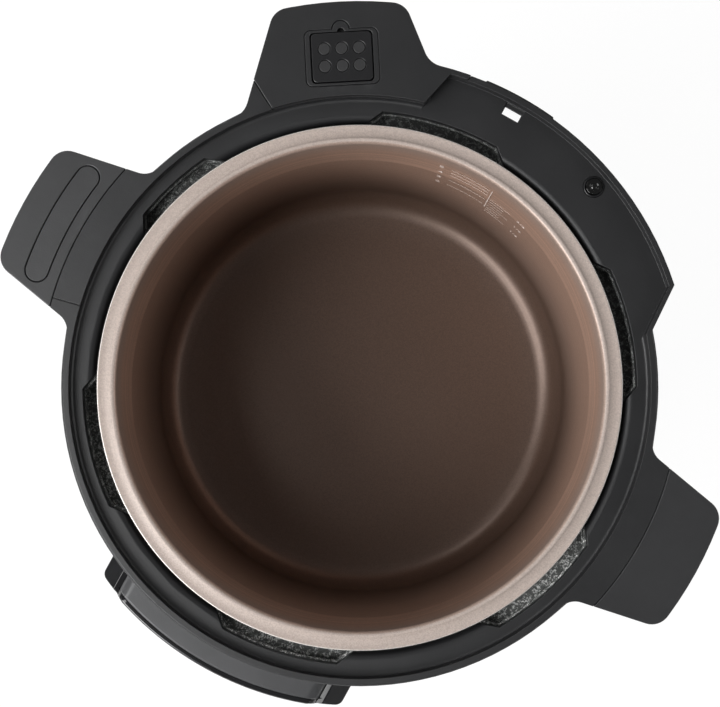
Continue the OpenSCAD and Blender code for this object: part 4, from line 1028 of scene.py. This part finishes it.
class COOKER_OT_connector(Dressing):
    """Softens and finishes the connector handle, its port block and its shutter"""

    bl_idname = "cooker.connector"
    bl_label = "Connector handle"

    def execute(self, context):
        dress("connector_cap", ROUND_EDGE, segments=3)
        dress("connector_base")
        dress("port_block", ROUND_EDGE, segments=3)
        dress("port_shutter", SMALL_EDGE, segments=3, finish="dot_plastic")
        self.frame()
        sprung("shutter_press")
        coat("port_housing")
        return {"FINISHED"}

    def frame(self):
        """Raised frame between the cap's opening and the block, with an arch on its outer side"""
        bm = bmesh.new()
        for outline in (FRAME_OUTER, FRAME_INNER):
            corners = [bm.verts.new((x, y, CAP_LOW.z)) for x, y in frame_loop(*outline)]
            for pair in zip(corners, corners[1:] + corners[:1]):
                bm.edges.new(pair)
        strip = bmesh.ops.bridge_loops(bm, edges=bm.edges[:])["faces"]
        around = list({e for f in strip for e in f.edges})
        raised = bmesh.ops.extrude_face_region(bm, geom=strip + around, use_keep_orig=True)["geom"]
        top = [v for v in raised if isinstance(v, bmesh.types.BMVert)]
        bmesh.ops.translate(bm, vec=(0, 0, CAP_HIGH.z + FRAME_PROUD - CAP_LOW.z), verts=top)
        bmesh.ops.recalc_face_normals(bm, faces=bm.faces)
        for face in bm.faces:
            face.smooth = True
        out = Matrix.Rotation(PORT_AZ, 4, "Z") @ Matrix.Translation((PORT_AT_R, 0, 0))
        place = out @ Matrix.Rotation(-math.pi / 2, 4, "Z")
        bmesh.ops.transform(bm, matrix=place, verts=bm.verts)
        node = "connector_cap"
        piece = piece_from(bm, "port_frame", SLOT_OF[node], BODY_OF[node])
        soften(piece, SMALL_EDGE, segments=3)


class COOKER_OT_lid_pin(Dressing):
    """Softens and finishes the lid pin and its collar"""

    bl_idname = "cooker.lid_pin"
    bl_label = "Lid pin"

    def execute(self, context):
        dress("pin_collar", ROUND_EDGE, segments=3)
        dress("lid_pin", SMALL_EDGE, segments=3)
        self.bead()
        sprung("pin_press")
        coat("lid_switch")
        return {"FINISHED"}

    def bead(self):
        """Domed button in the pin's dished tip"""
        bm = bmesh.new()
        bmesh.ops.create_uvsphere(bm, u_segments=32, v_segments=16, radius=PIN_BEAD_R)
        middle = (PIN_LOW + PIN_HIGH) / 2
        seat = Vector((middle.x, middle.y, PIN_HIGH.z - PIN_BEAD_R))
        bmesh.ops.translate(bm, vec=seat, verts=bm.verts)
        for face in bm.faces:
            face.smooth = True
        piece_from(bm, "pin_bead", "pin_plastic", BODY_OF["lid_pin"])


def pot_profile():
    """Section of the pot from the middle of its underside round its rim to the middle of its floor"""
    s = sizes()
    out = s.wall_r + s.wall_t
    lower = s.wall_r - STEP_IN
    flat = out - s.corner_r
    corner_z = POT_Z + s.corner_r
    floor_z = POT_Z + s.wall_t
    step_z = RIM_Z - s.step_depth
    points = [(0.0, POT_Z), (out * 0.5, POT_Z)]
    points += arc_points(flat, corner_z, s.corner_r, -90, 0, 12)
    points += [(out + x * MM, RIM_Z - z * MM) for x, z in RIM_UNDER]
    points.append((POT_RIM_R - BEAD_FOOT, RIM_Z - BEAD_FOOT))
    points += arc_points(POT_RIM_R - BEAD_IN, RIM_Z - BEAD_DOWN, BEAD_R, -90, 70, 8)
    points += [(POT_RIM_R - x * MM, RIM_Z - z * MM) for x, z in RIM_OVER]
    points += arc_points(s.wall_r + ROLL_R, RIM_Z - ROLL_R, ROLL_R, 80, 180, 10)
    points += [(s.wall_r, RIM_Z - WALL_TOP), (s.wall_r, step_z + STEP_HALF_H),
               (s.wall_r - STEP_EASE, step_z + STEP_HALF_H / 2),
               (lower + STEP_EASE, step_z - STEP_HALF_H / 2), (lower, step_z - STEP_HALF_H)]
    points += arc_points(flat, corner_z, lower - flat, 0, -84, 14)
    points += [(flat * share, floor_z + rise * MM) for share, rise in FLOOR_SWELL]
    return points


class COOKER_OT_pots(Dressing):
    """Makes the pot with its rolled rim and its level marks, and finishes the shell round it"""

    bl_idname = "cooker.pots"
    bl_label = "Pots"

    def execute(self, context):
        turned_pot = spin_profile(pot_profile(), steps=240)
        pot = piece_from(turned_pot, "pot_form", "pot_coating", "pot")
        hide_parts("inner_pot")
        self.level_marks()
        dress("outer_pot", SMALL_EDGE)
        dress("bayonet_flange", GRIP_EDGE)
        return {"FINISHED"}

    def level_marks(self):
        """Fill lines, a divider, a fine ladder and numerals on the rear of the wall"""
        width = sizes().mark_w
        radius = sizes().wall_r - STEP_IN
        bm = bmesh.new()

        def x_at(azimuth):
            return -math.radians(azimuth) * radius

        def line(start, end, depth, height):
            """A level line in short bars, so that it keeps to the round wall"""
            count = math.ceil((start - end) / MARK_SWEEP)
            stops = [start + (end - start) * i / count for i in range(count + 1)]
            for a, b in zip(stops, stops[1:]):
                bar(bm, x_at(a), x_at(b), RIM_Z - depth, RIM_Z - depth + height, MARK_T)

        for depth in LINE_DEPTHS:
            line(LINE_FROM, LINE_TO, depth, width)
        divider = x_at(DIVIDER_AZ)
        bar(bm, divider, divider + width, RIM_Z - DIVIDER_LOW, RIM_Z - DIVIDER_TOP, MARK_T)
        for i in range(LADDER_COUNT):
            end = LADDER_SHORT if i % 3 else LADDER_LONG
            line(LADDER_FROM, end, LADDER_TOP + LADDER_PITCH * i, width * LADDER_THIN)
        for rows, azimuth, top, pitch, size in NUMERALS:
            for i, words in enumerate(rows):
                add_text(bm, words, x_at(azimuth), RIM_Z - top - pitch * i, size, MARK_T)
        on_wall(bm, radius + MARK_T * 0.4)
        piece_from(bm, "level_marks", "mark_print", "pot")


class COOKER_OT_heating(Dressing):
    """Finishes the heater, its element, the sensor, the shield and the posts"""

    bl_idname = "cooker.heating"
    bl_label = "Heating"

    def execute(self, context):
        dress("heater_plate", ROUND_EDGE)
        dress("sensor_cup", SMALL_EDGE)
        sprung("sensor_press")
        coat("heating_element", "heater_posts", "sensor_retainer", "heat_shield", "pot_spacers",
             "pressure_plate", "pressure_switch", "thermal_fuse")
        return {"FINISHED"}


class COOKER_OT_electrics(Dressing):
    """Finishes the boards and what stands on them"""

    bl_idname = "cooker.electrics"
    bl_label = "Electrics"

    def execute(self, context):
        coat("board_carrier", "power_board", "transformer", "relay", "capacitors", "terminal_block",
             "control_board")
        return {"FINISHED"}


class COOKER_OT_inlet(Dressing):
    """Softens and finishes the mains inlet"""

    bl_idname = "cooker.inlet"
    bl_label = "Mains inlet"

    def execute(self, context):
        dress("inlet_socket")
        dress("inlet_blades", FINE_EDGE)
        dress("inlet_screws", FINE_EDGE)
        return {"FINISHED"}


def face_radius(z):
    """Distance of the leaning face from the axis, at a height"""
    return PANEL_TOP_R + (PANEL_TOP_Z - z) * math.tan(LEAN)


def face_matrix(azimuth, z):
    """Frame on the panel's face: x to the right, y up the face, z out of it"""
    turn = Matrix.Rotation(-math.pi / 2 + azimuth, 4, "Z")
    lean = Matrix.Rotation(math.pi / 2 - LEAN, 4, "Y")
    flat = Matrix.Rotation(math.pi / 2, 4, "Z")
    return turn @ Matrix.Translation((face_radius(z), 0, z)) @ lean @ flat


def draw_clock(bm, w, t):
    hoop(bm, 2.9 * MM, w, t)
    strokes(bm, ((0, 0), (0, 1.9)), w, t)
    strokes(bm, ((0, 0), (1.3, 0)), w, t)


def draw_up(bm, w, t):
    strokes(bm, ((-2.4, -1), (0, 1.4), (2.4, -1)), w, t)


def draw_down(bm, w, t):
    strokes(bm, ((-2.4, 1), (0, -1.4), (2.4, 1)), w, t)


def draw_pot(bm, w, t):
    strokes(bm, ((-2.4, -2.2), (2.4, -2.2), (2.4, 0.6)), w, t)
    strokes(bm, ((-2.4, -2.2), (-2.4, 0.6)), w, t)
    strokes(bm, ((-3.2, 1.2), (3.2, 1.2)), w, t)
    strokes(bm, ((0, 1.8), (0, 2.8)), w, t)


def draw_start(bm, w, t):
    strokes(bm, ((-1.6, -2.4), (-1.6, 2.4), (2.4, 0), (-1.6, -2.4)), w, t)


def draw_power(bm, w, t):
    hoop(bm, 2.6 * MM, w, t, start=122.0, sweep=296.0)
    strokes(bm, ((0, 0.8), (0, 3.4)), w, t)


SIGNS = (draw_clock, draw_up, draw_down, draw_pot, draw_start, draw_power)

# A digit's segments by their ends, in halves of its width and height, and those that are lit
SEGMENTS = {
    "a": ((-1, 1), (1, 1)), "b": ((1, 1), (1, 0)), "c": ((1, 0), (1, -1)), "d": ((-1, -1), (1, -1)),
    "e": ((-1, -1), (-1, 0)), "f": ((-1, 0), (-1, 1)), "g": ((-1, 0), (1, 0)),
}
LIT = {"0": "abcdef", "3": "abgcd", "5": "afgcd"}


def draw_digit(bm, digit, x):
    """A digit of seven segments with gaps at its corners"""
    middle = Vector((x, 0))
    half = Vector((DIGIT_H * 0.27, DIGIT_H / 2))
    for letter in LIT[digit]:
        p, q = (middle + half * Vector(end) for end in SEGMENTS[letter])
        gap = (q - p).normalized() * DIGIT_W * 0.75
        stroke(bm, p + gap, q - gap, DIGIT_W, DIGIT_T)


class COOKER_OT_panel(Dressing):
    """Softens and finishes the control panel, and gives its keys signs and its display digits"""

    bl_idname = "cooker.panel"
    bl_label = "Control panel"

    def execute(self, context):
        dress("panel_housing", shape=roll_ends)
        dress("fascia", ROUND_EDGE, segments=3, shape=round_cheeks)
        dress("display_lens", LENS_EDGE)
        coat("display_module", "keypad_mat")
        for i in range(len(SIGNS)):
            dress(f"key_{i + 1}", SMALL_EDGE, segments=3)
            self.key_sign(i)
        self.digits()
        return {"FINISHED"}

    def key_sign(self, i):
        """A printed sign that follows the key's dished face"""
        bm = bmesh.new()
        SIGNS[i](bm, sizes().sign_w, SIGN_T)
        for v in bm.verts:
            v.co.z += DISH_AT - math.sqrt(DISH_R ** 2 - v.co.x ** 2 - v.co.y ** 2) - SIGN_T * 0.3
        azimuth = KEY_AZ if i >= KEY_ROWS else -KEY_AZ
        place = face_matrix(azimuth, KEY_TOP_Z - (i % KEY_ROWS) * KEY_PITCH)
        bmesh.ops.transform(bm, matrix=place, verts=bm.verts)
        piece_from(bm, f"key_sign_{i + 1}", "sign_print", f"key_{i + 1}_body")

    def digits(self):
        """Lit segments on the display behind the lens"""
        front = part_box("display_module")[0].y
        bm = bmesh.new()
        for digit, x in DIGITS:
            draw_digit(bm, digit, x)
        for y in (-COLON_Y, COLON_Y):
            bar(bm, -COLON_HALF, COLON_HALF, y - COLON_HALF, y + COLON_HALF, DIGIT_T)
        place = Matrix.Translation((0, front, DISPLAY_Z)) @ Matrix.Rotation(math.pi / 2, 4, "X")
        bmesh.ops.transform(bm, matrix=place, verts=bm.verts)
        piece_from(bm, "display_digits", "digit_print", "cooker")


def stage_finish():
    """Pale studio floor: white to the camera, with the object's soft shadow"""
    material = bpy.data.materials.new("stage_pale")
    material.use_nodes = True
    tree = material.node_tree
    tree.nodes.clear()
    paint = tree.nodes.new("ShaderNodeBsdfDiffuse")
    paint.inputs["Color"].default_value = (0.86, 0.86, 0.86, 1)
    glow = tree.nodes.new("ShaderNodeEmission")
    glow.inputs["Color"].default_value = (1, 1, 1, 1)
    glow.inputs["Strength"].default_value = FLOOR_GLOW
    rays = tree.nodes.new("ShaderNodeLightPath")
    seen = add(tree, rays.outputs["Is Camera Ray"], rays.outputs["Is Transmission Ray"])
    share = math_node(tree, "MULTIPLY", seen, 0.9, clamp=True)
    mix = tree.nodes.new("ShaderNodeMixShader")
    tree.links.new(share, mix.inputs[0])
    tree.links.new(paint.outputs[0], mix.inputs[1])
    tree.links.new(glow.outputs[0], mix.inputs[2])
    out = tree.nodes.new("ShaderNodeOutputMaterial")
    tree.links.new(mix.outputs[0], out.inputs[0])
    return material


class COOKER_OT_stage(Dressing):
    """Sets up the floor, the soft light and the camera"""

    bl_idname = "cooker.stage"
    bl_label = "Stage"

    def execute(self, context):
        scene = context.scene
        scene.view_settings.view_transform = "Standard"
        self.floor()
        self.light(scene)
        self.camera(scene)
        return {"FINISHED"}

    def floor(self):
        """Round floor that sweeps up into a wall"""
        sweep = arc_points(FLOOR_R, SWEEP_R, SWEEP_R, -90, 0, 10)
        profile = [(0.0, 0.0), (FLOOR_R, 0.0), *sweep, (FLOOR_R + SWEEP_R, WALL_Z)]
        bm = spin_profile(profile, steps=64)
        mesh = bpy.data.meshes.new("stage_floor")
        bm.to_mesh(mesh)
        bm.free()
        floor = bpy.data.objects.new("stage_floor", mesh)
        bpy.context.scene.collection.objects.link(floor)
        mesh.materials.append(stage_finish())

    def light(self, scene):
        """Even sky and softboxes aimed at the cooker"""
        world = bpy.data.worlds.new("studio")
        world.use_nodes = True
        sky = world.node_tree.nodes["Background"]
        sky.inputs["Color"].default_value = (1.0, 1.0, 1.0, 1)
        sky.inputs["Strength"].default_value = SKY_STRENGTH
        scene.world = world
        for name, azimuth, out, height, side, power in SOFTBOXES:
            lamp = bpy.data.lights.new(name, "AREA")
            lamp.shape = "SQUARE"
            lamp.size = side
            lamp.energy = power
            holder = bpy.data.objects.new(name, lamp)
            turn = math.radians(azimuth)
            holder.location = (out * math.cos(turn), out * math.sin(turn), height)
            holder.rotation_euler = (AIM - holder.location).to_track_quat("-Z", "Y").to_euler()
            holder.visible_camera = False
            scene.collection.objects.link(holder)

    def camera(self, scene):
        """Long lens above the pot's rim"""
        lens = bpy.data.cameras.new("view")
        lens.lens = VIEW_LENS
        lens.sensor_width = VIEW_SENSOR
        lens.shift_x = VIEW_SHIFT_X
        lens.shift_y = VIEW_SHIFT_Y
        lens.dof.use_dof = False
        camera = bpy.data.objects.new("view", lens)
        offset = Vector((VIEW_ACROSS, -VIEW_DOWN, RIM_Z + sizes().camera_height))
        camera.location = Matrix.Rotation(VIEW_TURN, 3, "Z") @ offset
        camera.rotation_euler = (0, 0, VIEW_TURN)
        scene.collection.objects.link(camera)
        scene.camera = camera


class COOKER_PT_dressing(bpy.types.Panel):
    """Lists the cooker's sizes, colours and dressing operators"""

    bl_label = "Pressure cooker"
    bl_idname = "COOKER_PT_dressing"
    bl_space_type = "VIEW_3D"
    bl_region_type = "UI"
    bl_category = "Cooker"

    def draw(self, context):
        layout = self.layout
        for group in (context.scene.cooker_sizes, context.scene.cooker_colours):
            box = layout.box()
            for label in group.__annotations__:
                box.prop(group, label)
        for operator in OPERATORS:
            layout.operator(operator.bl_idname)


OPERATORS = (
    COOKER_OT_shell,
    COOKER_OT_ring,
    COOKER_OT_handles,
    COOKER_OT_connector,
    COOKER_OT_lid_pin,
    COOKER_OT_pots,
    COOKER_OT_heating,
    COOKER_OT_electrics,
    COOKER_OT_inlet,
    COOKER_OT_panel,
    COOKER_OT_stage,
)
CLASSES = (CookerSizes, CookerColours, *OPERATORS, COOKER_PT_dressing)


def register():
    for cls in CLASSES:
        bpy.utils.register_class(cls)
    bpy.types.Scene.cooker_sizes = bpy.props.PointerProperty(type=CookerSizes)
    bpy.types.Scene.cooker_colours = bpy.props.PointerProperty(type=CookerColours)


def unregister():
    del bpy.types.Scene.cooker_colours
    del bpy.types.Scene.cooker_sizes
    for cls in reversed(CLASSES):
        bpy.utils.unregister_class(cls)


def main():
    register()
    for operator in OPERATORS:
        group, name = operator.bl_idname.split(".")
        getattr(getattr(bpy.ops, group), name)()


if __name__ == "__main__":
    main()
